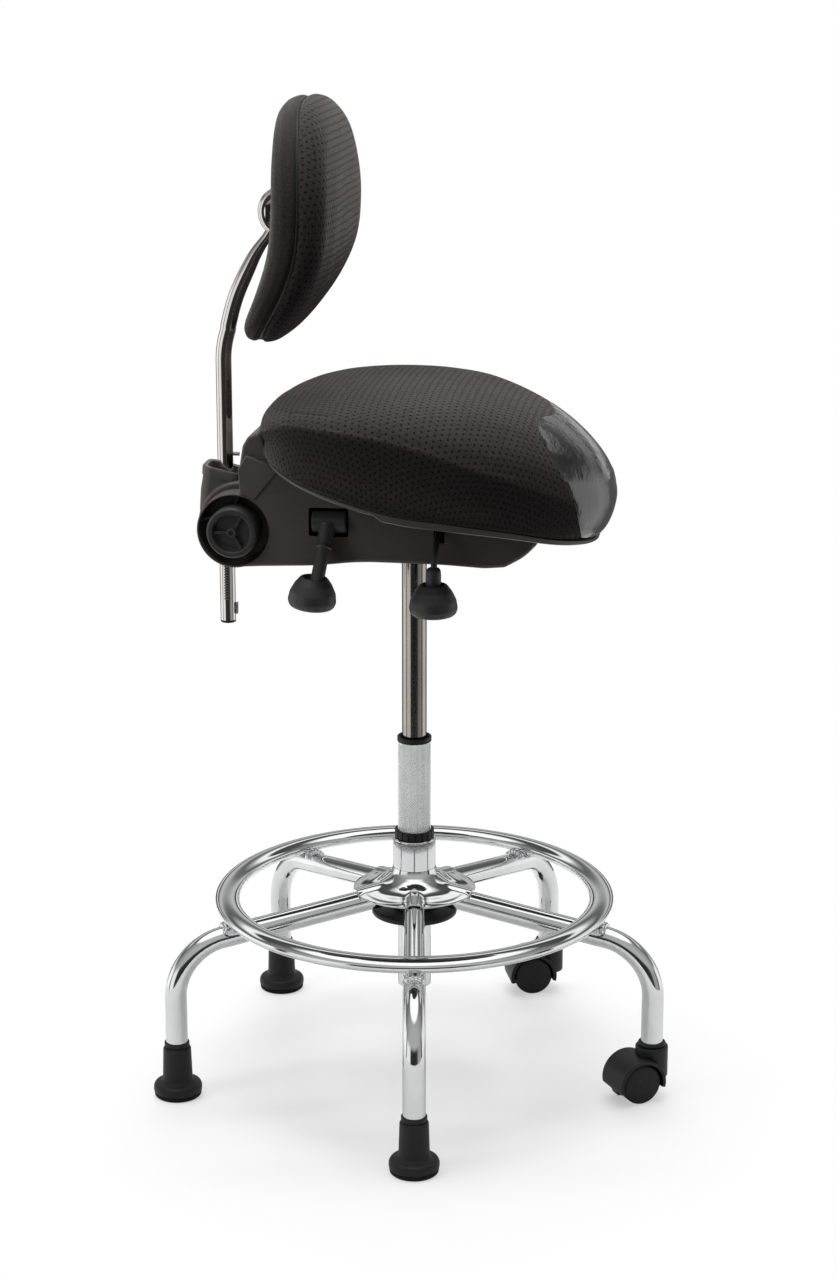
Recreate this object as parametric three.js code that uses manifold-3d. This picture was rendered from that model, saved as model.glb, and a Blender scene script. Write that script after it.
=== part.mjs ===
// Dentist's stool: a chromed five-leg base with a foot ring, a gas column, a saddle-nosed seat that
// tilts on the column, and a small backrest on a bent tube. Millimetres, +Z up, the seat faces +X.
import * as THREE from 'three';
import Module from 'manifold-3d';
import { mergeVertices } from 'three/addons/utils/BufferGeometryUtils.js';

const wasm = await Module();
wasm.setup();

// ---- driving dimensions ------------------------------------------------------------------------

const gap = 0.3; // kept between pieces that touch
const columnPlace = new THREE.Vector3(-7.7, 17, 0); // column axis, seen from the middle of the outline

const base = {
  footCircle: 284, // radius on which the five feet stand
  firstLegAngle: -82, // degrees round from +X; the others follow every 72
  legRadius: 12.5,
  legWall: 1.8,
  legFall: 0.148, // how much a leg drops for each millimetre outwards
  legStartHeight: 214.6,
  bendRadius: 67,
  footHeight: 66, // the tubes end here, above a glide or a castor
  ringRadius: 215.5,
  ringHeight: 210,
  ringHalfWidth: 14,
  ringHalfHeight: 8.5,
};
const column = {
  tubeRadius: 19,
  tubeBore: 17,
  tubeBottom: 101,
  tubeTop: 396,
  sleeveRadius: 24.5,
  sleeveBottom: 196,
  sleeveTop: 281,
  gasRadius: 14,
  gasBottom: 330,
  taperStart: 622,
  gasTop: 652,
  rodRadius: 5,
};
const castor = { wheelRadius: 23.5, wheelWidth: 16, trail: 22, webWidth: 12, roofRadius: 29 };
const seat = {
  pivot: { x: 32, z: 652 }, // tilt pin, just in front of the column
  shellThickness: 9,
  coverHalfWidth: 62,
  coverWall: 2.5,
};
const back = {
  pivot: { x: -192, z: 648 }, // clamp spindle, on which the bracket swings
  hubRadius: 48,
  hubHalfWidth: 25,
  tubeX: -213,
  tubeRadius: 8.75,
  tubeBottom: 531,
  knuckle: { x: -150, z: 991 },
  knuckleRadius: 18,
};

// ---- finishes ----------------------------------------------------------------------------------

const finish = (color, roughness, metalness) =>
  new THREE.MeshStandardMaterial({ color, roughness, metalness });
const chrome = () => finish(0xd6d7d9, 0.12, 1);
const darkChrome = () => finish(0x8d8680, 0.22, 1);
const steel = () => finish(0x9a9c9f, 0.4, 1);
const blackSteel = () => finish(0x2a2a2b, 0.5, 0.8);
const blackPlastic = () => finish(0x1f2021, 0.62, 0);
const housingPlastic = () => finish(0x2c2b2a, 0.68, 0);
const rubber = () => finish(0x191919, 0.85, 0);
const fabric = () => finish(0x2e2a2b, 0.95, 0);
const vinyl = () => finish(0x151515, 0.25, 0);

// ---- geometry helpers --------------------------------------------------------------------------

/** The closed solid that a geometry bounds, ready to be joined or cut. */
function solidOf(geometry) {
  const bare = geometry.clone();
  bare.deleteAttribute('normal');
  bare.deleteAttribute('uv');
  const merged = mergeVertices(bare, 1e-4);
  const index = merged.index.array;
  const kept = [];
  for (let i = 0; i < index.length; i += 3) {
    const [a, b, c] = [index[i], index[i + 1], index[i + 2]];
    if (a !== b && b !== c && a !== c) kept.push(a, b, c);
  }
  const mesh = new wasm.Mesh({
    numProp: 3,
    vertProperties: new Float32Array(merged.attributes.position.array),
    triVerts: Uint32Array.from(kept),
  });
  return new wasm.Manifold(mesh);
}

/** A geometry for a solid that has been joined or cut. */
function geometryOf(solid) {
  const mesh = solid.getMesh();
  const geometry = new THREE.BufferGeometry();
  geometry.setAttribute('position', new THREE.BufferAttribute(mesh.vertProperties, 3));
  geometry.setIndex(new THREE.BufferAttribute(mesh.triVerts, 1));
  geometry.computeVertexNormals();
  return geometry;
}

const joined = (solids) => solids.reduce((whole, solid) => whole.add(solid));
const cut = (solid, cutters) => cutters.reduce((rest, cutter) => rest.subtract(cutter), solid);

/** A round piece about the Z axis. The [radius, height] profile runs anticlockwise. */
function turned(profile, segments = 20) {
  const points = profile.map(([radius, height]) => new THREE.Vector2(radius, height));
  return new THREE.LatheGeometry(points, segments).rotateX(Math.PI / 2);
}

/** A plain ring about the Z axis. */
function ring(inner, outer, low, high, segments = 20) {
  const profile = [[inner, low], [outer, low], [outer, high], [inner, high], [inner, low]];
  return turned(profile, segments);
}

/** A plain upright rod about the Z axis. */
function rod(radius, low, high, segments = 20) {
  return turned([[0, low], [radius, low], [radius, high], [0, high]], segments);
}

const shapeOf = (points) => new THREE.Shape(points.map(([a, b]) => new THREE.Vector2(a, b)));

/** A flat outline given as [x, y], standing from one height to another. */
function planBlock(points, low, high) {
  const settings = { depth: high - low, bevelEnabled: false };
  return new THREE.ExtrudeGeometry(shapeOf(points), settings).translate(0, 0, low);
}

/** A side outline given as [x, z], reaching across from one y to another. */
function sideBlock(points, low, high) {
  const settings = { depth: high - low, bevelEnabled: false };
  const geometry = new THREE.ExtrudeGeometry(shapeOf(points), settings);
  return geometry.rotateX(Math.PI / 2).translate(0, high, 0);
}

/** A round pin that lies along Y. */
function crossPin(place, radius, low, high, segments = 16) {
  const geometry = new THREE.CylinderGeometry(radius, radius, high - low, segments);
  return geometry.translate(place.x, (low + high) / 2, place.z);
}

/** A box from its low and high corners. */
function box(low, high) {
  const size = high.map((value, axis) => value - low[axis]);
  const middle = high.map((value, axis) => (value + low[axis]) / 2);
  return new THREE.BoxGeometry(...size).translate(...middle);
}

/** A round bar or tube that follows a curve; bore 0 leaves it solid. */
function tubeAlong(curve, radius, bore, steps, sides) {
  const shape = new THREE.Shape().absarc(0, 0, radius, 0, 2 * Math.PI);
  if (bore > 0) shape.holes.push(new THREE.Path().absarc(0, 0, bore, 0, 2 * Math.PI, true));
  const settings = { steps, extrudePath: curve, bevelEnabled: false, curveSegments: sides };
  return new THREE.ExtrudeGeometry(shape, settings);
}

/** A closed skin over rings of points, each ring with as many points as the next. */
function skinOver(rings) {
  const count = rings[0].length;
  const positions = rings.flat().flatMap((point) => point);
  const middle = (ringPoints) =>
    [0, 1, 2].map((axis) => ringPoints.reduce((sum, point) => sum + point[axis], 0) / count);
  positions.push(...middle(rings[0]), ...middle(rings[rings.length - 1]));
  const firstMiddle = rings.length * count;
  const index = [];
  for (let i = 0; i < count; i += 1) {
    const next = (i + 1) % count;
    index.push(firstMiddle, next, i);
    const last = (rings.length - 1) * count;
    index.push(firstMiddle + 1, last + i, last + next);
    for (let row = 0; row < rings.length - 1; row += 1) {
      const [a, b] = [row * count + i, row * count + next];
      index.push(a, b, b + count, a, b + count, a + count);
    }
  }
  const geometry = new THREE.BufferGeometry();
  geometry.setAttribute('position', new THREE.Float32BufferAttribute(positions, 3));
  geometry.setIndex(index);
  geometry.computeVertexNormals();
  return geometry;
}

/** The value at a place on a line given as [place, value] points; level beyond its ends. */
function along(list, where) {
  const after = list.findIndex(([place]) => place >= where);
  if (after === 0) return list[0][1];
  if (after < 0) return list[list.length - 1][1];
  const [[lowPlace, low], [highPlace, high]] = [list[after - 1], list[after]];
  return low + ((high - low) * (where - lowPlace)) / (highPlace - lowPlace);
}

const radians = THREE.MathUtils.degToRad;
const group = new THREE.Group();
const model = new THREE.Group();
model.position.copy(columnPlace);
group.add(model);

/** Names a piece and adds it to the stool, or to a group inside it. */
function addPiece(name, shape, material, parent = model) {
  const geometry = shape instanceof THREE.BufferGeometry ? shape : geometryOf(shape);
  const mesh = new THREE.Mesh(geometry, material);
  mesh.name = name;
  parent.add(mesh);
}

// ---- base: legs, hub and foot ring -------------------------------------------------------------

/** A leg's middle line: out from the hub along a falling line, round the bend, down to the foot. */
class LegPath extends THREE.Curve {
  constructor(start) {
    super();
    const fall = Math.atan(base.legFall);
    this.turn = Math.PI / 2 - fall;
    this.start = new THREE.Vector2(start, legHeightAt(start));
    this.out = new THREE.Vector2(Math.cos(fall), -Math.sin(fall));
    const corner = (base.footCircle - start) / this.out.x;
    const tangent = base.bendRadius * Math.tan(this.turn / 2);
    this.runLength = corner - tangent;
    this.arcLength = base.bendRadius * this.turn;
    const cornerHeight = this.start.y + this.out.y * corner;
    this.dropLength = cornerHeight - tangent - base.footHeight;
    this.bendMiddle = new THREE.Vector2(base.footCircle - base.bendRadius, cornerHeight - tangent);
    this.total = this.runLength + this.arcLength + this.dropLength;
  }

  getPoint(t, target = new THREE.Vector3()) {
    const distance = t * this.total;
    if (distance <= this.runLength) {
      const height = this.start.y + this.out.y * distance;
      return target.set(this.start.x + this.out.x * distance, 0, height);
    }
    const swept = (distance - this.runLength) / base.bendRadius;
    if (swept <= this.turn) {
      const angle = this.turn - swept;
      const x = this.bendMiddle.x + base.bendRadius * Math.cos(angle);
      return target.set(x, 0, this.bendMiddle.y + base.bendRadius * Math.sin(angle));
    }
    const dropped = distance - this.runLength - this.arcLength;
    return target.set(base.footCircle, 0, this.bendMiddle.y - dropped);
  }
}

const hubEnd = column.sleeveRadius + 2.6;
function legHeightAt(distance) {
  return base.legStartHeight - base.legFall * (distance - 25);
}
const legAngles = [0, 1, 2, 3, 4].map((step) => base.firstLegAngle + 72 * step);
const legNames = ['front', 'right', 'back_right', 'back_left', 'left'];

/** A straight bar of round section along the sloping part of every leg. */
function legBars(radius, from, to) {
  const line = new THREE.LineCurve3(
    new THREE.Vector3(from, 0, legHeightAt(from)),
    new THREE.Vector3(to, 0, legHeightAt(to)),
  );
  return legAngles.map((angle) => solidOf(tubeAlong(line, radius, 0, 1, 5).rotateZ(radians(angle))));
}

function addLegs() {
  const path = new LegPath(hubEnd);
  legAngles.forEach((angle, i) => {
    const tube = tubeAlong(path, base.legRadius, base.legRadius - base.legWall, 10, 5);
    addPiece(`leg_${legNames[i]}`, tube.rotateZ(radians(angle)), chrome());
  });
}

function addHub() {
  const { tubeRadius, sleeveRadius, sleeveBottom, sleeveTop } = column;
  addPiece('hub_sleeve', ring(tubeRadius + gap, sleeveRadius, sleeveBottom, sleeveTop), chrome());

  const skirtOutline = [[0, 200], [69, 200], [69, 221], [42, 229], [31, 236], [27.5, 244], [0, 244]];
  const hollowOutline = [[0, 190], [66, 190], [66, 218], [41, 226], [30, 232], [0, 233]];
  const channels = legBars(base.legRadius + 3.2, 29, 72);
  const spider = cut(joined([solidOf(turned(skirtOutline)), ...channels]), [
    solidOf(turned(hollowOutline)),
    ...legBars(base.legRadius + 0.5, 20, 80),
    solidOf(rod(sleeveRadius + gap, 180, 260)),
    solidOf(box([-90, -90, 150], [90, 90, 215])),
  ]);
  addPiece('hub_spider', spider, chrome());
  addPiece('hub_lower_disc', ring(tubeRadius + gap, 49, 189, 195), blackPlastic());
}

function addFootRing() {
  const sides = 8;
  const section = [];
  for (let i = 0; i <= sides; i += 1) {
    const angle = (2 * Math.PI * (i % sides)) / sides;
    const radius = base.ringRadius + base.ringHalfWidth * Math.cos(angle);
    section.push([radius, base.ringHeight + base.ringHalfHeight * Math.sin(angle)]);
  }
  const hoop = solidOf(turned(section, 36));
  const seats = legAngles.map((angle) => {
    const place = box([base.ringRadius - 11, -8, 192], [base.ringRadius + 13, 8, 205]);
    return solidOf(place.rotateZ(radians(angle)));
  });
  const welded = cut(joined([hoop, ...seats]), legBars(base.legRadius + 2 * gap, 190, 250));
  addPiece('foot_ring', welded, chrome());
}

// ---- column ------------------------------------------------------------------------------------

function addColumn() {
  const { tubeRadius, tubeBore, tubeBottom, tubeTop, sleeveTop } = column;
  const { gasRadius, gasBottom, taperStart, gasTop, rodRadius } = column;
  addPiece('stand_tube', ring(tubeBore, tubeRadius, tubeBottom, tubeTop), chrome());

  const ribs = 16;
  const grip = [];
  for (let i = 0; i < 2 * ribs; i += 1) {
    const [from, to] = [i - 0.35, i + 0.35].map((step) => (Math.PI * step) / ribs);
    const radius = i % 2 === 0 ? 22.6 : 21.4;
    grip.push([radius * Math.cos(from), radius * Math.sin(from)]);
    grip.push([radius * Math.cos(to), radius * Math.sin(to)]);
  }
  const collar = solidOf(planBlock(grip, sleeveTop + gap, 291));
  const bore = solidOf(rod(tubeRadius + gap, 275, 300));
  addPiece('lock_ring', cut(collar, [bore]), blackPlastic());

  const bushBore = gasRadius + 0.4;
  const bush = turned([
    [bushBore, 350], [tubeBore - 0.4, 350], [tubeBore - 0.4, tubeTop + gap],
    [tubeRadius + 0.5, tubeTop + gap], [tubeRadius + 0.5, 402], [bushBore, 402], [bushBore, 350],
  ]);
  addPiece('column_bush', bush, blackPlastic());
  addPiece('column_end_plug', ring(rodRadius + 0.4, tubeBore - 0.4, tubeBottom, 107), steel());
  addPiece('thrust_bearing', ring(rodRadius + 0.4, 13, 107 + gap, 113), steel());
  addPiece('rod_clip', ring(rodRadius + 0.4, 9, tubeBottom - 3, tubeBottom - gap), steel());
  const rodOutline = [[0, 95], [rodRadius, 95], [rodRadius, 400], [10.4, 400], [10.4, 410], [0, 410]];
  addPiece('piston_rod', turned(rodOutline, 16), steel());

  const cylinder = turned([
    [rodRadius + 0.6, gasBottom], [gasRadius, gasBottom], [gasRadius, taperStart],
    [13, gasTop], [4, gasTop], [4, 636], [0, 636], [0, 618], [11, 618],
    [11, 336], [rodRadius + 0.6, 336], [rodRadius + 0.6, gasBottom],
  ]);
  addPiece('gas_cylinder', cylinder, darkChrome());
  addPiece('valve_pin', rod(3.2, 640, 662, 12), steel());
}

// ---- feet --------------------------------------------------------------------------------------

const spigotHeight = base.footHeight - 0.4; // a foot's spigot goes up into the tube from here

function addGlide(name, angle) {
  const foot = new THREE.Group();
  const turn = radians(angle);
  foot.position.set(base.footCircle * Math.cos(turn), base.footCircle * Math.sin(turn), 0);
  model.add(foot);
  const cup = turned([
    [0, 5.4], [26.5, 5.4], [27.5, 8], [27.5, 15], [24, 20], [18.5, 24], [17.5, 30], [15.8, 60],
    [13.8, 61], [13.8, spigotHeight], [9.8, spigotHeight], [9.8, 88], [0, 88],
  ], 18);
  addPiece(`glide_cup_${name}`, cup, blackPlastic(), foot);
  const pad = turned([[0, 0], [25, 0], [26.5, 1.5], [26.5, 5], [0, 5]], 18);
  addPiece(`glide_pad_${name}`, pad, rubber(), foot);
}

/** A hooded castor with two wheels, built trailing along -X and then turned about its stem. */
function addCastor(name, angle, trailAngle) {
  const foot = new THREE.Group();
  const turn = radians(angle);
  foot.position.set(base.footCircle * Math.cos(turn), base.footCircle * Math.sin(turn), 0);
  foot.rotation.z = radians(trailAngle + 180);
  model.add(foot);

  const { wheelRadius, wheelWidth, trail, webWidth, roofRadius } = castor;
  const axle = { x: -trail, z: wheelRadius };
  const halfWidth = webWidth / 2 + wheelWidth + 1;
  const socket = turned([
    [6.4, 62.6], [16, 62.6], [16, spigotHeight], [9.8, spigotHeight], [9.8, 100], [6.4, 100], [6.4, 62.6],
  ], 16);
  addPiece(`castor_socket_${name}`, socket, blackPlastic(), foot);
  addPiece(`castor_stem_${name}`, rod(5.8, 46, 97, 12), steel(), foot);

  const web = solidOf(crossPin(axle, wheelRadius - 3, -webWidth / 2, webWidth / 2));
  const roofOutline = [];
  const arcSteps = 7;
  const arcPoint = (radius, step) => {
    const bearing = radians(-12 + (182 * step) / arcSteps);
    return [axle.x + radius * Math.cos(bearing), axle.z + radius * Math.sin(bearing)];
  };
  for (let i = 0; i <= arcSteps; i += 1) roofOutline.push(arcPoint(roofRadius, i));
  for (let i = arcSteps; i >= 0; i -= 1) roofOutline.push(arcPoint(wheelRadius + 1.5, i));
  const roof = solidOf(sideBlock(roofOutline, -halfWidth, halfWidth));
  const rib = solidOf(crossPin(axle, roofRadius - 1, -webWidth / 2, webWidth / 2));
  const belowRib = solidOf(box([-60, -30, -20], [20, 30, wheelRadius - 6]));
  const neck = solidOf(rod(18.5, wheelRadius + 2, 62, 16));
  const wheelRoom = [[webWidth / 2, halfWidth + 9], [-halfWidth - 9, -webWidth / 2]].map((side) =>
    solidOf(crossPin(axle, wheelRadius + 1.5, ...side)));
  const hood = cut(joined([web, roof, cut(rib, [belowRib]), neck]), [
    ...wheelRoom,
    solidOf(crossPin(axle, 3.4, -30, 30)),
    solidOf(rod(6.1, 45.5, 70, 12)),
  ]);
  addPiece(`castor_hood_${name}`, hood, blackPlastic(), foot);
  addPiece(`castor_axle_${name}`, crossPin(axle, 3, -halfWidth + 2, halfWidth - 2, 12), steel(), foot);
  const inner = webWidth / 2 + 0.5;
  [['near', -inner - wheelWidth], ['far', inner]].forEach(([side, low]) => {
    const rim = ring(3.4, wheelRadius, 0, wheelWidth, 20).rotateX(-Math.PI / 2);
    rim.translate(axle.x, low, axle.z);
    addPiece(`castor_wheel_${side}_${name}`, rim, blackPlastic(), foot);
  });
}

// ---- mechanism and housing ---------------------------------------------------------------------

const headBottom = 627;

function addMechanism() {
  const block = solidOf(box([-26, -27, headBottom], [46, 27, 659])); // clear of the covers as they tilt
  const socket = solidOf(turned([[0, 600], [14.3, 600], [14.3, 622], [13.3, 653], [0, 653]]));
  const valveHole = solidOf(rod(6, 640, 670, 12));
  const head = cut(block, [socket, valveHole, solidOf(crossPin(seat.pivot, 5.3, -40, 40))]);
  addPiece('column_head', head, blackSteel());
  addPiece('tilt_pin', crossPin(seat.pivot, 5, -35, 35), steel());

  const topLine = [[104, 662], [60, 673], [4, 681], [-60, 696], [-134, 714]];
  const outline = [
    [-201, 640], [-180, 634], [-150, 640], [-60, 640], [-30, 632], [60, 632], [90, 642], ...topLine,
    [-142, 690], [-160, 664], [-201, 657],
  ];
  const underTop = topLine.map(([x, z]) => [x, z - 3]);
  const inside = [[-240, 600], [140, 600], [140, 640], ...underTop, [-150, 730], [-240, 730]];
  const frame = cut(solidOf(sideBlock(outline, -32, 32)), [
    solidOf(sideBlock(inside, -29, 29)),
    solidOf(crossPin(seat.pivot, 5.3, -40, 40)),
    solidOf(crossPin(back.pivot, 5.6, -40, 40)),
    solidOf(box([4, -36, 662], [44, -24, 676])),
  ]);
  addPiece('tilt_frame', frame, blackSteel());
}

// the housing's side outline: its rear end round the clamp, the bottom up to the front, and the top
const coverRear = [0, 1, 2, 3, 4, 5].map((step) => {
  const bearing = radians(170 + (100 * step) / 5);
  return [back.pivot.x + 1 + 43.5 * Math.cos(bearing), back.pivot.z + 2 + 43.5 * Math.sin(bearing)];
});
const coverBottom = [
  [-160, 608.5], [-100, 611], [-52, 617], [38, 616.5], [85, 614], [108, 616], [129, 628], [146, 643],
  [150, 650],
];
const coverTop = [[100, 662], [63, 669], [22, 674], [-15, 687], [-80, 703], [-121, 713], [-146, 717]];
const coverShoulder = [[-187, 690], [-196, 674], [-208, 662]];
const knobRecess = { radius: 39, floor: 36.5 };

function addSideCover(name, side) {
  const { coverHalfWidth, coverWall } = seat;
  const [low, high] = side < 0 ? [-coverHalfWidth, -gap] : [gap, coverHalfWidth];
  const reach = coverHalfWidth - coverWall;
  const [innerLow, innerHigh] = side < 0 ? [-reach, 5] : [-5, reach];
  const inside = [
    ...coverRear.map(([x, z]) => [x + coverWall, z + coverWall / 2]),
    ...coverBottom.map(([x, z]) => [x - Math.sign(x) * coverWall, z + coverWall]),
    ...coverTop.map(([x, z]) => [x, z + 10]),
    ...coverShoulder.map(([x, z]) => [x + coverWall, z - coverWall]),
  ];
  let hollow = solidOf(sideBlock(inside, innerLow, innerHigh));
  const cutters = [
    solidOf(rod(24, 600, 640)), // room for the column
    solidOf(box([-160, -34, 600], [-140, 34, 730])), // room for the bracket
    solidOf(box([-250, -28, 590], [-159, 28, 730])),
    solidOf(crossPin(back.pivot, 5.6, -60, 60)),
  ];
  if (side < 0) {
    const { radius, floor } = knobRecess;
    const cup = solidOf(crossPin(back.pivot, radius + coverWall, -coverHalfWidth, coverWall - floor, 32));
    hollow = hollow.subtract(cup);
    cutters.push(solidOf(crossPin(back.pivot, radius, -80, -floor, 32)));
    cutters.push(solidOf(box([-108, -80, 645], [-64, -50, 677]))); // window of the tilt lever
    cutters.push(solidOf(box([30, -80, 641], [42, -50, 669]))); // slot of the height lever
  }
  const outline = [...coverRear, ...coverBottom, ...coverTop, ...coverShoulder];
  const block = solidOf(sideBlock(outline, low, high));
  addPiece(name, cut(block, [hollow, ...cutters]), housingPlastic());
}

// ---- seat --------------------------------------------------------------------------------------

const seatOutline = { rear: -166, nose: 224, halfWidth: 180 };
// heights along the seat: of its crest, of the edge where its top turns down, and of its underside
const crestLine = [
  [-166, 764], [-150, 790], [-120, 806], [-60, 817], [10, 817.5], [51, 815], [113, 804], [153, 791],
  [193, 766], [215, 738], [224, 708],
];
const creaseLine = [
  [-166, 756], [-140, 776], [-120, 784], [-60, 783], [10, 772], [51, 759], [129, 729], [171, 708],
  [192, 698], [224, 692],
];
const underLine = [[-166, 738], [-139, 733], [2, 693], [64, 686], [119, 674], [180, 654], [224, 640]];

/** The seat's plan, a broad round rear that narrows to a blunt nose, scaled about its middle. */
function seatPlan(scale, count = 32) {
  const middle = -5;
  const points = [];
  for (let i = 0; i < count; i += 1) {
    const angle = (2 * Math.PI * i) / count;
    const [cosine, sine] = [Math.cos(angle), Math.sin(angle)];
    const reach = cosine > 0 ? seatOutline.nose - middle : middle - seatOutline.rear;
    const power = cosine > 0 ? 0.92 : 0.74;
    const x = middle + scale * reach * Math.sign(cosine) * Math.abs(cosine) ** power;
    const taper = cosine > 0 ? 1 - 0.2 * cosine ** 2 : 1;
    const y = scale * seatOutline.halfWidth * taper * Math.sign(sine) * Math.abs(sine) ** 0.86;
    points.push([x, y]);
  }
  return points;
}

/** Half the seat's width at a place along it. */
function seatHalfWidth(place) {
  const edge = seatPlan(1, 64).filter(([, y]) => y >= 0).sort(([a], [b]) => a - b);
  return along(edge, place);
}

// how much of the crest's height is left, going outwards from the middle (0) to the edge (1)
const crown = [[0, 1], [0.45, 0.94], [0.62, 0.85], [0.75, 0.7], [0.86, 0.53], [0.93, 0.35], [1, 0]];

/** One ring over the seat's top. */
function topRing(scale) {
  return seatPlan(scale).map(([x, y]) => {
    const crease = along(creaseLine, x);
    const left = along(crown, Math.min(1, Math.abs(y) / Math.max(seatHalfWidth(x), 1)));
    return [x, y, scale === 1 ? crease : crease + left * (along(crestLine, x) - crease)];
  });
}

/** One ring round the seat's underside, lifted off it. */
function underRing(scale, lift) {
  return seatPlan(scale).map(([x, y]) => [x, y, along(underLine, x) + lift]);
}

function addSeat() {
  const cushion = solidOf(skinOver([
    underRing(0.9, gap), underRing(0.985, 6), topRing(1), topRing(0.97), topRing(0.9), topRing(0.75),
    topRing(0.45),
  ]));
  const seam = [
    [150, 850], [145, 770], [168, 744], [182, 710], [188, 680], [190, 600], [260, 600], [260, 850],
  ];
  const fabricEdge = seam.map(([x, z]) => [x < 200 ? x - gap - 0.1 : x, z]);
  addPiece('seat_cushion', cut(cushion, [solidOf(sideBlock(fabricEdge, -250, 250))]), fabric());
  addPiece('seat_nose_cover', cushion.intersect(solidOf(sideBlock(seam, -250, 250))), vinyl());

  const { shellThickness } = seat;
  const shell = solidOf(skinOver([
    underRing(0.86, -shellThickness), underRing(0.93, -shellThickness + 1.5),
    underRing(0.95, -gap - 0.5), underRing(0.9, -gap),
  ]));
  const heel = [
    [-150, 706], [-150, 722], [-160, 750], [-170, 757], [-181, 742], [-186, 716], [-172, 708],
  ];
  const clearOfCushion = [[-0.5, 0], [0, -0.5], [0, 0]].map(([x, z]) => cushion.translate([x, 0, z]));
  const whole = cut(shell.add(solidOf(sideBlock(heel, -58, 58))), clearOfCushion);
  addPiece('seat_shell', whole, housingPlastic());
}

// ---- levers ------------------------------------------------------------------------------------

/** The bowl-shaped grip that hangs from each lever: a dome with a recessed top, given by its top. */
function leverGrip(x, y, top, lean) {
  const profile = [
    [0, -36], [20, -36], [25, -33], [26.5, -27], [25.5, -19], [21, -9], [15.5, -1], [14, 0], [11.5, -1],
    [10, -6], [0, -6],
  ];
  return turned(profile, 20).rotateY(radians(lean)).translate(x, y, top);
}

function addLevers() {
  const bar = [
    [4, -4, 671], [22, -28, 671], [32, -40, 669], [36, -58, 661], [36, -76, 650], [35, -88, 634],
    [34, -92, 598.5],
  ].map((point) => new THREE.Vector3(...point));
  const route = new THREE.CatmullRomCurve3(bar, false, 'chordal');
  addPiece('height_lever_rod', tubeAlong(route, 3.5, 0, 14, 4), blackSteel());
  addPiece('height_lever_grip', leverGrip(34, -93, 603, 0), blackPlastic());

  const drum = new THREE.CylinderGeometry(12, 12, 38, 16);
  drum.rotateZ(Math.PI / 2).translate(-85, -58, 661);
  const stem = new THREE.LineCurve3(new THREE.Vector3(-86, -67, 657), new THREE.Vector3(-93.5, -92, 608));
  const head = joined([solidOf(drum), solidOf(tubeAlong(stem, 7.5, 0, 1, 6))]);
  addPiece('tilt_lever_head', head, blackPlastic());
  addPiece('tilt_lever_grip', leverGrip(-95, -96, 607, 6), blackPlastic());
}

// ---- backrest bracket and post -----------------------------------------------------------------

function addBracket() {
  const { pivot, hubRadius, hubHalfWidth, tubeX, tubeRadius } = back;
  const hub = solidOf(crossPin(pivot, hubRadius, -hubHalfWidth, hubHalfWidth, 32));
  const collar = solidOf(sideBlock(
    [[-240, 640], [-235, 712], [-189, 712], [-184, 640]], -hubHalfWidth + 3, hubHalfWidth - 3));
  const passage = solidOf(rod(tubeRadius + 0.5, 560, 740, 16).translate(tubeX, 0, 0));
  const mouth = solidOf(rod(15, 700, 740, 20).translate(tubeX, 0, 0));
  const spindleHole = solidOf(crossPin(pivot, 5.6, -40, 40));
  addPiece('back_bracket', cut(joined([hub, collar]), [passage, mouth, spindleHole]), housingPlastic());
  addPiece('clamp_spindle', crossPin(pivot, 5, -37, 34), steel());

  const profile = [
    [0, 0], [20, 0], [27, 4], [28.5, 10], [28.5, 34], [26, 38], [21.5, 38], [20, 30], [5, 30], [5, 35],
    [0, 35],
  ];
  const wheel = turned(profile, 24).rotateX(Math.PI / 2).translate(pivot.x, -37.5, pivot.z);
  addPiece('clamp_knob', wheel, blackPlastic());
}

function addPost() {
  const { tubeX, tubeRadius, tubeBottom, knuckle, knuckleRadius } = back;
  const lean = radians(19);
  const bendStart = 826;
  const bendRadius = 110;
  const path = new THREE.CurvePath();
  const at = (x, z) => new THREE.Vector3(x, 0, z);
  const bendPoint = (angle) =>
    at(tubeX + bendRadius * (1 - Math.cos(angle)), bendStart + bendRadius * Math.sin(angle));
  path.add(new THREE.LineCurve3(at(tubeX, tubeBottom), bendPoint(0)));
  path.add(new THREE.QuadraticBezierCurve3(
    bendPoint(0), at(tubeX, bendStart + bendRadius * Math.tan(lean / 2)), bendPoint(lean)));
  const reach = (knuckle.z - 12 - bendPoint(lean).z) / Math.cos(lean);
  const end = bendPoint(lean).add(at(Math.sin(lean), Math.cos(lean)).multiplyScalar(reach));
  path.add(new THREE.LineCurve3(bendPoint(lean), end));
  const tube = solidOf(tubeAlong(path, tubeRadius, 0, 14, 6));
  const eye = solidOf(crossPin(knuckle, knuckleRadius, -8, 8, 20));
  const bottomBore = solidOf(rod(6.9, tubeBottom - 5, 800, 12).translate(tubeX, 0, 0));
  const pinHole = solidOf(crossPin(knuckle, 6.4, -20, 20));
  addPiece('back_tube', cut(joined([tube, eye]), [bottomBore, pinHole]), darkChrome());

  const cap = turned([[0, -3], [8.75, -3], [8.75, -gap], [6.3, -gap], [6.3, 12], [0, 12]], 16);
  addPiece('tube_end_cap', cap.translate(tubeX, 0, tubeBottom), blackPlastic());
  const stop = new THREE.CylinderGeometry(2.2, 2.2, 7, 10).rotateZ(Math.PI / 2);
  addPiece('stop_pin', stop.translate(tubeX + tubeRadius + 3.9, 0, 722), steel());
  addPiece('tube_clip', box([tubeX + 9.2, -3, 538], [tubeX + 11.2, 3, 551]), steel());
}

// ---- backrest ----------------------------------------------------------------------------------

// how far back the backrest's seam lies at each height
const spineLine = [
  [850, -168], [880, -146], [910, -127], [950, -110], [1000, -104], [1050, -106], [1090, -111],
  [1117, -118],
];

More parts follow.
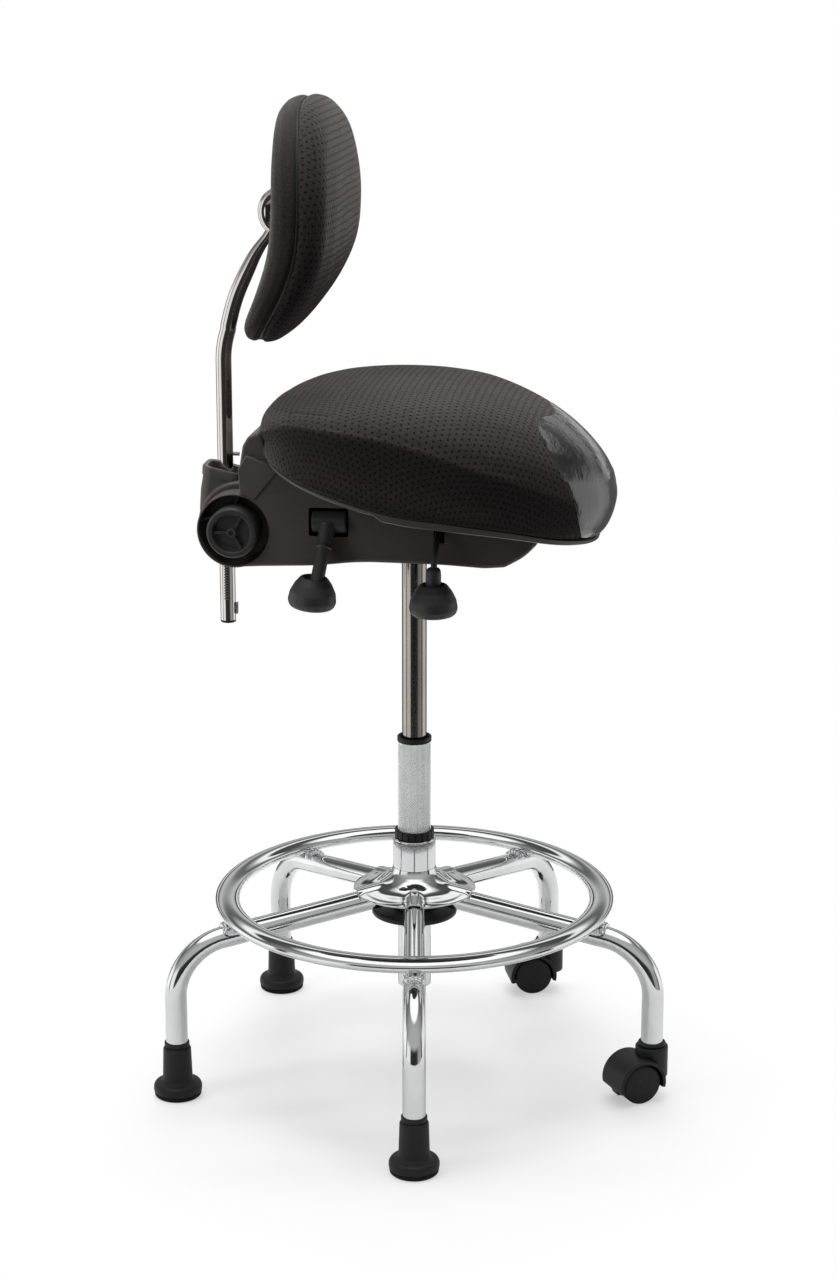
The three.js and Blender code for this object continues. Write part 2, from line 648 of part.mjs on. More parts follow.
/** The backrest's outline, a rounded oval, scaled about its middle, at a distance ahead of its seam. */
function backRing(scale, ahead, count = 28) {
  const [halfWidth, halfHeight, middle] = [134, 133, 984];
  const rounded = (share) => Math.sign(share) * Math.abs(share) ** 0.85;
  const points = [];
  for (let i = 0; i < count; i += 1) {
    const angle = (2 * Math.PI * i) / count;
    const y = scale * halfWidth * rounded(Math.cos(angle));
    const z = middle + scale * halfHeight * rounded(Math.sin(angle));
    points.push([along(spineLine, z) + ahead, y, z]);
  }
  return points;
}

function addBackrest() {
  const { knuckle } = back;
  const pad = [backRing(0.96, 2 * gap), backRing(1, 6), backRing(0.94, 25), backRing(0.6, 32)];
  addPiece('back_pad', skinOver(pad), fabric());
  const rear = [backRing(0.6, -40), backRing(0.92, -25), backRing(0.99, -8), backRing(0.96, 0)];
  const shell = solidOf(skinOver(rear));
  const room = solidOf(box([-200, -14.3, 960], [-129, 14.3, 1018])); // for the hanger and the eye
  addPiece('back_shell', cut(shell, [room]), fabric());

  const lugOutline = [[-131, 968], [-131, 1014], [-145, 1005], [-161, 999], [-161, 983], [-145, 975]];
  const lugs = [[-13.5, -9], [9, 13.5]].map(([low, high]) => solidOf(sideBlock(lugOutline, low, high)));
  const plate = solidOf(box([-131.5, -13.5, 966], [-129.5, 13.5, 1016]));
  const hanger = cut(joined([plate, ...lugs]), [solidOf(crossPin(knuckle, 6.4, -20, 20))]);
  addPiece('back_hanger', hanger, blackSteel());
  addPiece('knuckle_pin', crossPin(knuckle, 6, -13.9, 13.9), steel());
}

// ---- the whole stool ---------------------------------------------------------------------------

addColumn();
addHub();
addLegs();
addFootRing();
addGlide('front', legAngles[0]);
addCastor('right', legAngles[1], 213);
addCastor('back_right', legAngles[2], 197);
addGlide('back_left', legAngles[3]);
addGlide('left', legAngles[4]);
addMechanism();
addSideCover('side_cover_right', -1);
addSideCover('side_cover_left', 1);
addSeat();
addLevers();
addBracket();
addPost();
addBackrest();

export default group;
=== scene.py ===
"""The looks of a dentist's stool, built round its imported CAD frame.

Shapes are worked out in millimetres about the column's axis, +Z up, with the seat facing +X, and
add_piece puts them into the frame in metres. Each section makes one group of sub-parts.
"""

import math

import bmesh
import bpy
import numpy as np
from mathutils import Matrix, Vector
from mathutils.bvhtree import BVHTree


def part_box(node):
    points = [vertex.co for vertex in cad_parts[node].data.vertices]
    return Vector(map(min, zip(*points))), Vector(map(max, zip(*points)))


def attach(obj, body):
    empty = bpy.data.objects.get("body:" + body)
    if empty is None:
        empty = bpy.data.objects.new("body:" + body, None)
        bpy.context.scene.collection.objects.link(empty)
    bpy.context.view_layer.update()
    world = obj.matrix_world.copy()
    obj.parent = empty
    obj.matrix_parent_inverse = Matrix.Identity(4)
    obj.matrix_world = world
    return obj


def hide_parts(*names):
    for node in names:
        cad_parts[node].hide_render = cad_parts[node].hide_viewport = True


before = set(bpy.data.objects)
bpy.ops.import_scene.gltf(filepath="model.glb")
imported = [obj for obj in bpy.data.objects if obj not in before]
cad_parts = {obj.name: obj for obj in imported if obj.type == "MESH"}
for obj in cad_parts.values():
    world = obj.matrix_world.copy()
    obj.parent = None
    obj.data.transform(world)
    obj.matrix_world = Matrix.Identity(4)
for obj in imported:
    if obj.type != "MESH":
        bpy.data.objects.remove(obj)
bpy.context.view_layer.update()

MM = 0.001
tube_low, tube_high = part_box("stand_tube")
COLUMN = np.array([(tube_low.x + tube_high.x) / 2, (tube_low.y + tube_high.y) / 2, 0.0])


def cad_box(node):
    """The lowest and highest corners of a CAD node, in millimetres about the column's axis."""
    low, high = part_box(node)
    return (np.array(low) - COLUMN) / MM, (np.array(high) - COLUMN) / MM


def cad_middle(node):
    low, high = cad_box(node)
    return (low + high) / 2


# ---- lines and outlines ------------------------------------------------------------------------


def smooth_line(points):
    """A function without corners through (place, value) points, level beyond its ends."""
    places, values = np.array(points, float).T
    slopes = np.gradient(values, places)

    def value(where):
        where = np.clip(where, places[0], places[-1])
        i = np.clip(np.searchsorted(places, where) - 1, 0, len(places) - 2)
        width = places[i + 1] - places[i]
        t = (where - places[i]) / width
        rise = 3 * t**2 - 2 * t**3
        return (
            values[i] + rise * (values[i + 1] - values[i])
            + (t**3 - 2 * t**2 + t) * width * slopes[i] + (t**3 - t**2) * width * slopes[i + 1]
        )

    return value


def rounded(points, radius, steps=4, closed=False):
    """A line through the points with its corners rounded; radius may be one number for each."""
    points = [np.array(p, float) for p in points]
    radii = [radius] * len(points) if np.isscalar(radius) else list(radius)
    made = []
    for i, corner in enumerate(points):
        if not closed and i in (0, len(points) - 1):
            made.append(corner)
            continue
        before, after = points[i - 1] - corner, points[(i + 1) % len(points)] - corner
        a, b = np.linalg.norm(before), np.linalg.norm(after)
        turn = math.pi - math.acos(np.clip(before @ after / (a * b), -1, 1))
        cut = min(radii[i] * math.tan(turn / 2), 0.49 * a, 0.49 * b)
        if cut < 1e-3:
            made.append(corner)
            continue
        start, end = corner + before / a * cut, corner + after / b * cut
        inwards = before / a + after / b
        middle = corner + inwards * (cut / (math.sin(turn / 2) * np.linalg.norm(inwards)))
        for k in range(steps + 1):
            first, last = math.sin((1 - k / steps) * turn), math.sin(k / steps * turn)
            made.append(middle + ((start - middle) * first + (end - middle) * last) / math.sin(turn))
    return np.array(made)


def evenly(points, step):
    """The same line with its long stretches divided, so that no step is over the given length."""
    points = [np.array(p, float) for p in points]
    made = []
    for a, b in zip(points, points[1:]):
        parts = max(1, math.ceil(np.linalg.norm(b - a) / step))
        made += [a + (b - a) * k / parts for k in range(parts)]
    return np.array(made + [points[-1]])


def rectangle(low, high):
    """The four corners between a low and a high corner, anticlockwise."""
    return [[low[0], low[1]], [high[0], low[1]], [high[0], high[1]], [low[0], high[1]]]


def all_round(count, offset=0.0):
    """Angles in even steps round a circle."""
    return (np.arange(count) + offset) * 2 * math.pi / count


def level_ring(reach, height, angles):
    """Points round the Z axis at the angles; reach and height may be one number or one for each."""
    return np.stack([reach * np.cos(angles), reach * np.sin(angles), height + 0 * reach + 0 * angles], 1)


def inset(outline, distance):
    """A closed anticlockwise outline moved inwards."""
    before, after = np.roll(outline, 1, 0) - outline, np.roll(outline, -1, 0) - outline
    before /= np.linalg.norm(before, axis=1)[:, None]
    after /= np.linalg.norm(after, axis=1)[:, None]
    normal = np.stack([-(after - before)[:, 1], (after - before)[:, 0]], 1)
    normal /= np.linalg.norm(normal, axis=1)[:, None]
    half = np.sqrt(np.clip((1 - (before * after).sum(1)) / 2, 0.3, 1))
    return outline + normal * (distance / half)[:, None]


# ---- mesh builders: each gives (vertices, faces) in millimetres ---------------------------------


def skin(rings, wrap_rows=False, caps=True):
    """A skin over rings of points, each with as many points as the next."""
    rings = np.asarray(rings, float)
    rows, count = rings.shape[:2]
    vertices = rings.reshape(-1, 3)
    faces = []
    for row in range(rows if wrap_rows else rows - 1):
        a, b = row * count, (row + 1) % rows * count
        for i in range(count):
            j = (i + 1) % count
            faces.append((a + i, a + j, b + j, b + i))
    if caps and not wrap_rows:
        middles = [rings[0].mean(0), rings[-1].mean(0)]
        vertices = np.vstack([vertices, middles])
        first, last = rows * count, rows * count + 1
        for i in range(count):
            j = (i + 1) % count
            faces.append((first, j, i))
            faces.append((last, (rows - 1) * count + i, (rows - 1) * count + j))
    return vertices, faces


def turned(profile, segments=64):
    """A round piece about Z from an anticlockwise [radius, height] line, closed or ending on Z."""
    profile = np.array(profile, float)
    closed = profile[0, 0] > 1e-6
    if closed and np.allclose(profile[0], profile[-1]):
        profile = profile[:-1]
    inner = profile if closed else profile[1:-1]
    angles = all_round(segments)
    vertices, faces = skin([level_ring(r, z, angles) for r, z in inner], wrap_rows=closed)
    if not closed:
        vertices[-2] = [0, 0, profile[0, 1]]
        vertices[-1] = [0, 0, profile[-1, 1]]
    return vertices, faces


def turned_ring(section, radii, steps, segments):
    """A round piece with a bore: a closed section clear of the axis, with its corners rounded."""
    return turned(rounded(section, radii, steps, closed=True), segments)


def cylinder(radius, low, high, segments):
    return turned([[0, low], [radius, low], [radius, high], [0, high]], segments)


def swept(path, radius, sides=32, bore=0.0):
    """A round bar or tube along a path of points; radius may be one number for each point."""
    path = np.array(path, float)
    radii = np.full(len(path), radius) if np.isscalar(radius) else np.array(radius, float)
    tangents = np.gradient(path, axis=0)
    tangents /= np.linalg.norm(tangents, axis=1)[:, None]
    side = np.cross(tangents[0], [0, 0, 1.0] if abs(tangents[0][2]) < 0.9 else [0, 1.0, 0])
    angles = all_round(sides)
    sections = []
    for tangent in tangents:
        side = side - tangent * (side @ tangent)
        side /= np.linalg.norm(side)
        other = np.cross(tangent, side)
        sections.append(np.outer(np.cos(angles), side) + np.outer(np.sin(angles), other))
    outer = [p + s * r for p, s, r in zip(path, sections, radii)]
    if not bore:
        return skin(outer)
    return skin(outer + [p + s * bore for p, s in zip(path[::-1], sections[::-1])], wrap_rows=True)


def prism(outline, low, high, edge=0.0, steps=3):
    """An [x, z] outline that reaches across from one y to another, with rounded rims."""
    outline = np.array(outline, float)
    x, z = outline.T
    if (x * np.roll(z, -1) - np.roll(x, -1) * z).sum() < 0:
        outline = outline[::-1]
    turns = [math.pi / 2 * k / steps for k in range(steps + 1)] if edge else [math.pi / 2]
    rims = [(edge * (1 - math.sin(t)), low + edge * (1 - math.cos(t))) for t in turns]
    rims = [(i, y) for i, y in rims] + [(i, high + low - y) for i, y in reversed(rims)]
    rings = []
    for amount, y in rims:
        flat = inset(outline, amount) if amount > 1e-6 else outline
        rings.append(np.stack([flat[:, 0], np.full(len(flat), y), flat[:, 1]], 1))
    vertices, faces = skin(rings, caps=False)
    count = len(outline)
    faces.append(tuple(range(count - 1, -1, -1)))
    faces.append(tuple((len(rings) - 1) * count + i for i in range(count)))
    return vertices, [tuple(reversed(f)) for f in faces]


def moved(shape, by=(0, 0, 0), turn=None, about="Z"):
    """The shape turned by degrees about an axis through the origin, and then moved."""
    vertices, faces = shape
    if turn:
        matrix = np.array(Matrix.Rotation(math.radians(turn), 3, about))
        vertices = vertices @ matrix.T
    return vertices + np.array(by, float), faces


def across(shape, x, y, z):
    """A shape made about Z, laid along Y: its Z becomes Y, and its origin goes to the place."""
    return moved(shape, (x, y, z), -90, "X")


def together(*shapes):
    """Several shapes as one list of vertices and faces."""
    vertices, faces, start = [], [], 0
    for some_vertices, some_faces in shapes:
        vertices.append(some_vertices)
        faces += [tuple(i + start for i in f) for f in some_faces]
        start += len(some_vertices)
    return np.vstack(vertices), faces


def facing_out(vertices, faces):
    """The faces in the order that makes their normals point out of the closed shape."""
    volume = 0.0
    for face in faces:
        first = vertices[face[0]]
        for b, c in zip(face[1:-1], face[2:]):
            volume += first @ np.cross(vertices[b], vertices[c])
    return faces if volume > 0 else [tuple(reversed(face)) for face in faces]


def add_object(name, shape, uv=None):
    vertices, faces = shape
    faces = facing_out(vertices - vertices.mean(0), faces)
    mesh = bpy.data.meshes.new(name)
    mesh.from_pydata((vertices * MM + COLUMN).tolist(), [], faces)
    if uv is None:
        edit = bmesh.new()
        edit.from_mesh(mesh)
        bmesh.ops.remove_doubles(edit, verts=edit.verts, dist=2e-6)
        bmesh.ops.dissolve_degenerate(edit, edges=edit.edges, dist=1e-6)
        edit.to_mesh(mesh)
        edit.free()
    else:
        layer = mesh.uv_layers.new(name="cloth")
        corners = np.array([loop.vertex_index for loop in mesh.loops])
        layer.data.foreach_set("uv", np.asarray(uv, np.float32)[corners].ravel())
    made = bpy.data.objects.new(name, mesh)
    bpy.context.scene.collection.objects.link(made)
    return made


def carve(piece, cutters, operation="DIFFERENCE"):
    """Joins shapes to a piece or cuts them from it."""
    for cutter in cutters:
        tool = add_object("cutter", cutter)
        modifier = piece.modifiers.new("carve", "BOOLEAN")
        modifier.operation = operation
        modifier.solver = "EXACT"
        modifier.object = tool
        graph = bpy.context.evaluated_depsgraph_get()
        result = bpy.data.meshes.new_from_object(piece.evaluated_get(graph))
        piece.modifiers.clear()
        piece.data = result
        bpy.data.objects.remove(tool)
    return piece


def shade(piece, angle=34, keep_flat=True):
    """Smooth shading that stops at edges sharper than the angle."""
    edit = bmesh.new()
    edit.from_mesh(piece.data)
    bmesh.ops.remove_doubles(edit, verts=edit.verts, dist=1e-6)
    bmesh.ops.recalc_face_normals(edit, faces=edit.faces)
    limit = math.radians(angle)
    for face in edit.faces:
        face.smooth = True
    for edge in edit.edges:
        edge.smooth = edge.is_manifold and edge.calc_face_angle(math.pi) < limit
    edit.to_mesh(piece.data)
    edit.free()
    if keep_flat:
        weighted = piece.modifiers.new("flat faces stay flat", "WEIGHTED_NORMAL")
        weighted.keep_sharp = True
        weighted.weight = 60


def add_piece(name, shape, body, slot, replaces=(), angle=34, uv=None, keep_flat=True):
    """A finished piece: shape in place, shaded, with the slot's material, riding on its body."""
    piece = add_object(name, shape, uv) if isinstance(shape, tuple) else shape
    piece.name = name
    shade(piece, angle, keep_flat)
    piece.data.materials.clear()
    piece.data.materials.append(material(slot))
    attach(piece, body)
    if replaces:
        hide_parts(*([replaces] if isinstance(replaces, str) else replaces))
    return piece


# ---- materials ---------------------------------------------------------------------------------


class Nodes:
    """A short way to write a node tree."""

    def __init__(self, tree):
        self.tree = tree

    def add(self, kind, inputs=None, **settings):
        node = self.tree.nodes.new(kind)
        for key, value in settings.items():
            setattr(node, key, value)
        self.feed(node, inputs or {})
        return node

    def feed(self, node, inputs):
        """Links or sets a node's inputs, by name or by number."""
        for key, value in inputs.items():
            self.put(node.inputs[key], value)

    def put(self, socket, value):
        """Links or sets one input; a colour may be one grey number, or three numbers."""
        if isinstance(value, bpy.types.NodeSocket):
            self.tree.links.new(value, socket)
        elif isinstance(value, bpy.types.Node):
            self.tree.links.new(value.outputs[0], socket)
        elif socket.type == "RGBA":
            socket.default_value = (*np.broadcast_to(value, 3), 1)
        else:
            socket.default_value = value

    def math(self, operation, *values):
        node = self.add("ShaderNodeMath", operation=operation)
        for socket, value in zip(node.inputs, values):
            self.put(socket, value)
        return node.outputs[0]

    def noise(self, where, scale, detail=3.0, roughness=0.5):
        inputs = {"Vector": where, "Scale": scale, "Detail": detail, "Roughness": roughness}
        return self.add("ShaderNodeTexNoise", inputs).outputs["Fac"]

    def ramp(self, factor, stops):
        """A run of grey or colour over (place, value) stops."""
        node = self.add("ShaderNodeValToRGB", {"Fac": factor})
        ramp = node.color_ramp
        while len(ramp.elements) < len(stops):
            ramp.elements.new(0.5)
        for element, (place, value) in zip(ramp.elements, stops):
            element.position = place
            element.color = (value, value, value, 1) if np.isscalar(value) else (*value, 1)
        return node.outputs[0]

    def mix(self, factor, a, b):
        """Colour a where the factor is 0, and b where it is 1."""
        return self.add("ShaderNodeMix", {0: factor, 6: a, 7: b}, data_type="RGBA").outputs[2]

    def bump(self, height, strength, distance, normal=None):
        inputs = {"Height": height, "Strength": strength, "Distance": distance}
        if normal is not None:
            inputs["Normal"] = normal
        return self.add("ShaderNodeBump", inputs).outputs[0]


def new_material(name):
    made = bpy.data.materials.new(name)
    made.use_nodes = True
    return made, Nodes(made.node_tree), made.node_tree.nodes["Principled BSDF"]


def scaled(colour, factor):
    """The colour made brighter, or darker where the factor is under 1."""
    return tuple(c * factor for c in colour)


def metal(name, colour, rough, streak=0.0, wear=0.02):
    """Plated or bare metal with faint smears, fine dust and, if streaked, brushing round it."""
    made, n, shader = new_material(name)
    where = n.add("ShaderNodeTexCoord").outputs["Object"]
    smears = n.noise(where, 18.0, 4.0, 0.6)
    dust = n.noise(where, 900.0, 2.0, 0.5)
    dull = n.ramp(smears, [(0.35, 0.0), (0.75, 1.0)])
    rougher = n.math("MULTIPLY_ADD", dull, wear, rough)
    height = dust
    if streak:
        stretched = n.add("ShaderNodeMapping", {"Vector": where, "Scale": (1.0, 1.0, 0.02)})
        lines = n.noise(stretched, 2500.0, 2.0, 0.6)
        height = n.math("MULTIPLY_ADD", lines, streak, dust)
    n.feed(shader, {
        "Metallic": 1.0,
        "Base Color": n.mix(dull, colour, scaled(colour, 0.86)),
        "Roughness": n.math("MULTIPLY_ADD", dust, wear * 0.6, rougher),
        "Normal": n.bump(height, 0.06 + 0.2 * streak, 0.00004),
    })
    return made


def plastic(name, colour, rough, grain=0.25, scale=1400.0, edge_paleness=1.35, specular=0.5):
    """Moulded plastic with a fine spark-eroded grain, a little paler and smoother on its sharp outward
    edges.
    """
    made, n, shader = new_material(name)
    where = n.add("ShaderNodeTexCoord").outputs["Object"]
    cells = n.add("ShaderNodeTexVoronoi", {"Vector": where, "Scale": scale}).outputs["Distance"]
    patches = n.noise(where, 30.0, 4.0, 0.6)
    edges = n.add("ShaderNodeNewGeometry").outputs["Pointiness"]
    sharp_edges = n.ramp(edges, [(0.5, 0.0), (0.58, 1.0)])
    mottled = n.mix(n.ramp(patches, [(0.3, 0.0), (0.8, 1.0)]), colour, scaled(colour, 1.12))
    varied = n.math("MULTIPLY_ADD", patches, 0.12, rough - 0.06)
    n.feed(shader, {
        "Base Color": n.mix(sharp_edges, mottled, scaled(colour, edge_paleness)),
        "Roughness": n.math("MULTIPLY_ADD", sharp_edges, -0.1, varied),
        "Specular IOR Level": specular,
        "Normal": n.bump(cells, grain, 0.00012),
    })
    return made


def cloth(name, colour, dots, pitch=0.0074):
    """A knitted upholstery cloth read in the piece's own flat coordinates, in metres.

    dots is how strongly its staggered rows of small open cells show, and pitch how far apart they are.
    """
    thread = 0.0011
    made, n, shader = new_material(name)
    flat = n.add("ShaderNodeUVMap", uv_map="cloth").outputs[0]
    split = n.add("ShaderNodeSeparateXYZ", {"Vector": flat})
    across_cloth, along_cloth = split.outputs[0], split.outputs[1]
    object_place = n.add("ShaderNodeTexCoord").outputs["Object"]

    column_number = n.math("DIVIDE", across_cloth, pitch)
    odd = n.math("MODULO", n.math("FLOOR", column_number), 2.0)
    row_number = n.math("MULTIPLY_ADD", odd, 0.5, n.math("DIVIDE", along_cloth, pitch))
    from_column = n.math("SUBTRACT", n.math("FRACT", column_number), 0.5)
    from_row = n.math("SUBTRACT", n.math("FRACT", row_number), 0.5)
    squared = n.math("ADD", n.math("MULTIPLY", from_column, from_column),
                     n.math("MULTIPLY", from_row, from_row))
    away = n.math("SQRT", squared)
    dot = n.ramp(away, [(0.14, 1.0), (0.25, 0.0)])

    turn = 2 * math.pi / thread
    ribs = n.math("SINE", n.math("MULTIPLY", across_cloth, turn))
    loops = n.math("SINE", n.math("MULTIPLY", along_cloth, turn * 1.25))
    weave = n.math("MULTIPLY_ADD", n.math("MULTIPLY", ribs, loops), 0.5, 0.5)
    fuzz = n.noise(object_place, 420.0, 3.0, 0.7)
    wear = n.noise(object_place, 9.0, 3.0, 0.5)

    light = scaled(colour, 2.5)
    # the knit's raised loops painted paler and the gaps between them darker: painted highlight and shade of
    # the knit's relief, following its bump
    lit = n.math("MULTIPLY", weave, n.ramp(fuzz, [(0.3, 0.0), (0.7, 1.0)]))
    knit_light_and_shade = n.mix(lit, scaled(colour, 0.6), light)
    broad = n.mix(n.ramp(wear, [(0.35, 0.0), (0.7, 0.12)]), knit_light_and_shade, light)
    shown_dots = n.math("MULTIPLY", dot, dots)
    raised = n.math("MULTIPLY_ADD", weave, 0.35, n.math("MULTIPLY", fuzz, 0.3))
    n.feed(shader, {
        "Base Color": n.mix(shown_dots, broad, scaled(colour, 0.3)),
        "Roughness": n.math("MULTIPLY_ADD", fuzz, 0.2, 0.68),
        "Specular IOR Level": 0.08,
        "Sheen Weight": n.math("MULTIPLY_ADD", shown_dots, -0.25, 0.25),
        "Sheen Roughness": 0.28,
        "Sheen Tint": (0.9, 0.86, 0.84),
        "Normal": n.bump(n.math("SUBTRACT", raised, shown_dots), 0.6, 0.0009),
    })
    return made


def vinyl(name):
    """Glossy black coated cloth, drawn into fine creases that fan forward from its seam."""
    made, n, shader = new_material(name)
    where = n.add("ShaderNodeTexCoord").outputs["Object"]
    stretched = n.add("ShaderNodeMapping", {"Vector": where, "Scale": (1.0, 0.7, 0.13)})
    creases = n.noise(stretched, 95.0, 3.0, 0.55)
    pores = n.add("ShaderNodeTexVoronoi", {"Vector": where, "Scale": 1900.0}).outputs["Distance"]
    swells = n.noise(where, 22.0, 3.0, 0.5)
    fine = n.bump(creases, 0.5, 0.0022, n.bump(swells, 0.12, 0.006))
    n.feed(shader, {
        "Base Color": n.mix(creases, (0.004, 0.004, 0.0045), (0.011, 0.011, 0.012)),
        "Roughness": n.math("MULTIPLY_ADD", swells, 0.16, 0.06),
        "Specular IOR Level": 0.9,
        "Coat Weight": 0.45,
        "Coat Roughness": 0.06,
        "Normal": n.bump(pores, 0.12, 0.0001, fine),
    })
    return made


makers = {
    "chrome": lambda: metal("chrome", (0.80, 0.805, 0.81), 0.045),
    "knurl": lambda: metal("knurled chrome", (0.92, 0.925, 0.93), 0.24),
    "dark_chrome": lambda: metal("dark chrome", (0.42, 0.39, 0.365), 0.13, streak=0.3),
    "post_chrome": lambda: metal("post chrome", (0.74, 0.72, 0.70), 0.07),
    "steel": lambda: metal("steel", (0.5, 0.5, 0.51), 0.34, streak=0.5),
    "black_steel": lambda: metal("black steel", (0.05, 0.05, 0.052), 0.42, wear=0.1),
    "black_plastic": lambda: plastic("black plastic", (0.0058, 0.0058, 0.006), 0.5, 0.3,
                                     specular=0.36),
    # the black plastic painted paler for the levers, their sleeve and the handwheel: painted light for the
    # front light these upper parts catch, which the low feet in the plain black plastic do not
    "lit_black_plastic": lambda: plastic("black plastic painted lit", (0.021, 0.0208, 0.0208), 0.46, 0.3),
    "housing_plastic": lambda: plastic("housing plastic", (0.052, 0.048, 0.044), 0.42, 0.22),
    "rubber": lambda: plastic("rubber", (0.0065, 0.0065, 0.0065), 0.8, 0.4, 700.0, 1.2, 0.3),
    "fabric": lambda: cloth("seat cloth", (0.021, 0.0178, 0.0176), dots=1.0),
    "plain_cloth": lambda: cloth("shell cloth", (0.0185, 0.0158, 0.0157), dots=0.25, pitch=0.0052),
    "vinyl": lambda: vinyl("nose vinyl"),
}
# the materials made so far, one for each look
made_materials = {}


def material(name):
    if name not in made_materials:
        made_materials[name] = makers[name]()
    return made_materials[name]


# ---- base: legs, foot ring and hub -------------------------------------------------------------

LEG_RADIUS, LEG_WALL, LEG_FALL = 12.5, 1.8, 0.148
LEG_START_HEIGHT = 214.6  # of the leg's middle, 25 mm from the column's axis
BEND_RADIUS, BEND_SQUASH = 67.0, 0.9  # the bend's inside is drawn in a little
FOOT_CIRCLE = float(np.hypot(*cad_middle("glide_pad_front")[:2]))
FIRST_LEG = math.degrees(math.atan2(*cad_middle("glide_pad_front")[1::-1]))
LEG_NAMES = ["front", "right", "back_right", "back_left", "left"]
LEG_ANGLES = [FIRST_LEG + 72 * i for i in range(5)]
RING_LOW, RING_HIGH = cad_box("foot_ring")
RING_HALF_WIDTH, RING_HALF_HEIGHT = 14.0, 8.5
RING_RADIUS = (RING_HIGH[0] - RING_LOW[0]) / 2 - RING_HALF_WIDTH
RING_HEIGHT = RING_HIGH[2] - RING_HALF_HEIGHT


def leg_height(reach):
    return LEG_START_HEIGHT - LEG_FALL * (reach - 25)


def leg_path():
    """The middle of a leg that points along +X, and how far round its bend each point lies."""
    start = cad_box("hub_sleeve")[1][0] + 2.6
    end = cad_box("leg_front")[0][2]
    turn = math.pi / 2 - math.atan(LEG_FALL)
    straight_steps, bend_steps = 16, 32
    middle_x = FOOT_CIRCLE - BEND_RADIUS
    bend_top = np.array([middle_x + BEND_RADIUS * math.cos(turn), 0, 0])
    bend_top[2] = leg_height(bend_top[0])
    middle_z = bend_top[2] - BEND_RADIUS * math.sin(turn)
    points = [[x, 0, leg_height(x)] for x in np.linspace(start, bend_top[0], straight_steps)]
    bend = [0.0] * straight_steps
    for k in range(1, bend_steps + 1):
        angle = turn * (1 - k / bend_steps)
        points.append([middle_x + BEND_RADIUS * math.cos(angle), 0,
                       middle_z + BEND_RADIUS * math.sin(angle)])
        bend.append(min(1.0, 6 * min(k, bend_steps - k) / bend_steps))
    for z in np.linspace(middle_z, end, 12)[1:]:
        points.append([FOOT_CIRCLE, 0, z])
        bend.append(0.0)
    return np.array(points), np.array(bend)


def make_legs():
    path, bend = leg_path()
    sides = 56
    vertices, faces = swept(path, LEG_RADIUS, sides, LEG_RADIUS - LEG_WALL)
    inner_side = np.array([FOOT_CIRCLE - BEND_RADIUS, 0, path[:, 2].mean()])
    rows = vertices.reshape(-1, sides, 3)
    for row in range(len(path)):
        out = rows[row] - path[row]
        towards = inner_side - path[row]
        towards /= np.linalg.norm(towards)
        inwards = np.clip(out @ towards / LEG_RADIUS, 0, 1)[:, None]
        rows[row] -= towards * inwards**2 * bend[row] * BEND_SQUASH
    vertices = rows.reshape(-1, 3)
    for name, angle in zip(LEG_NAMES, LEG_ANGLES):
        add_piece(f"leg_{name}_tube", moved((vertices, faces), turn=angle), "base", "chrome",
                  f"leg_{name}")


def weld_bead(reach, side):
    """The rippled bead between a leg's top and one side of the foot ring."""
    middle = np.array([reach, 0, leg_height(reach)])
    lean = math.atan(LEG_FALL)
    along_leg = np.array([math.cos(lean), 0, -math.sin(lean)])
    up = np.array([math.sin(lean), 0, math.cos(lean)])
    path, radii = [], []
    for k in range(29):
        share = k / 28
        angle = math.radians(-58 + 116 * share)
        across_leg = np.array([0, math.sin(angle), 0])
        lift = up * math.cos(angle)
        slide = along_leg * side * (1.2 - 3.0 * math.cos(angle) ** 2)
        path.append(middle + (across_leg + lift) * (LEG_RADIUS + 0.6) + slide)
        radii.append(2.6 + 1.3 * math.cos(angle) + 0.35 * math.sin(share * 44))
    radii[0] = radii[-1] = 0.8
    return swept(path, radii, 16)


def make_foot_ring():
    turn = all_round(36)
    reach = RING_RADIUS + RING_HALF_WIDTH * np.cos(turn)
    height = RING_HEIGHT + RING_HALF_HEIGHT * np.sin(turn)
    rings = [level_ring(reach, height, angle) for angle in all_round(240)]
    add_piece("foot_ring_tube", skin(rings, wrap_rows=True), "base", "chrome", "foot_ring")
    for name, angle in zip(LEG_NAMES, LEG_ANGLES):
        beads = [weld_bead(RING_RADIUS + side * (RING_HALF_WIDTH - 4.5), side) for side in (-1, 1)]
        add_piece(f"ring_weld_{name}", moved(together(*beads), turn=angle), "base", "chrome")


def spider_height(reach, angle):
    """The height of the pressed hub cover: five dished petals between channels over the legs."""
    flare = smooth_line([(24.6, 246.5), (26, 241.5), (29, 237), (34, 232), (44, 226.4), (58, 223.2),
                         (66, 221.6), (69.5, 220.2)])
    height = flare(reach)
    arch_radius, softness = 15.9, 0.9
    for leg in LEG_ANGLES:
        off = angle - math.radians(leg)
        ahead, aside = reach * np.cos(off), np.abs(reach * np.sin(off))
        arch = leg_height(ahead) + np.sqrt(np.clip(arch_radius**2 - aside**2, 0, None))
        arch = np.where((ahead > 0) & (aside < arch_radius), arch, -1e3)
        top = np.maximum(height, arch)
        height = top + softness * np.exp(-np.abs(height - arch) / softness) * 0.6
    petal = np.cos(2.5 * (angle - math.radians(LEG_ANGLES[0]))) ** 2
    dish = np.clip((reach - 30) / 12, 0, 1) * np.clip((70 - reach) / 8, 0, 1)
    return height - 1.6 * (1 - petal) * dish


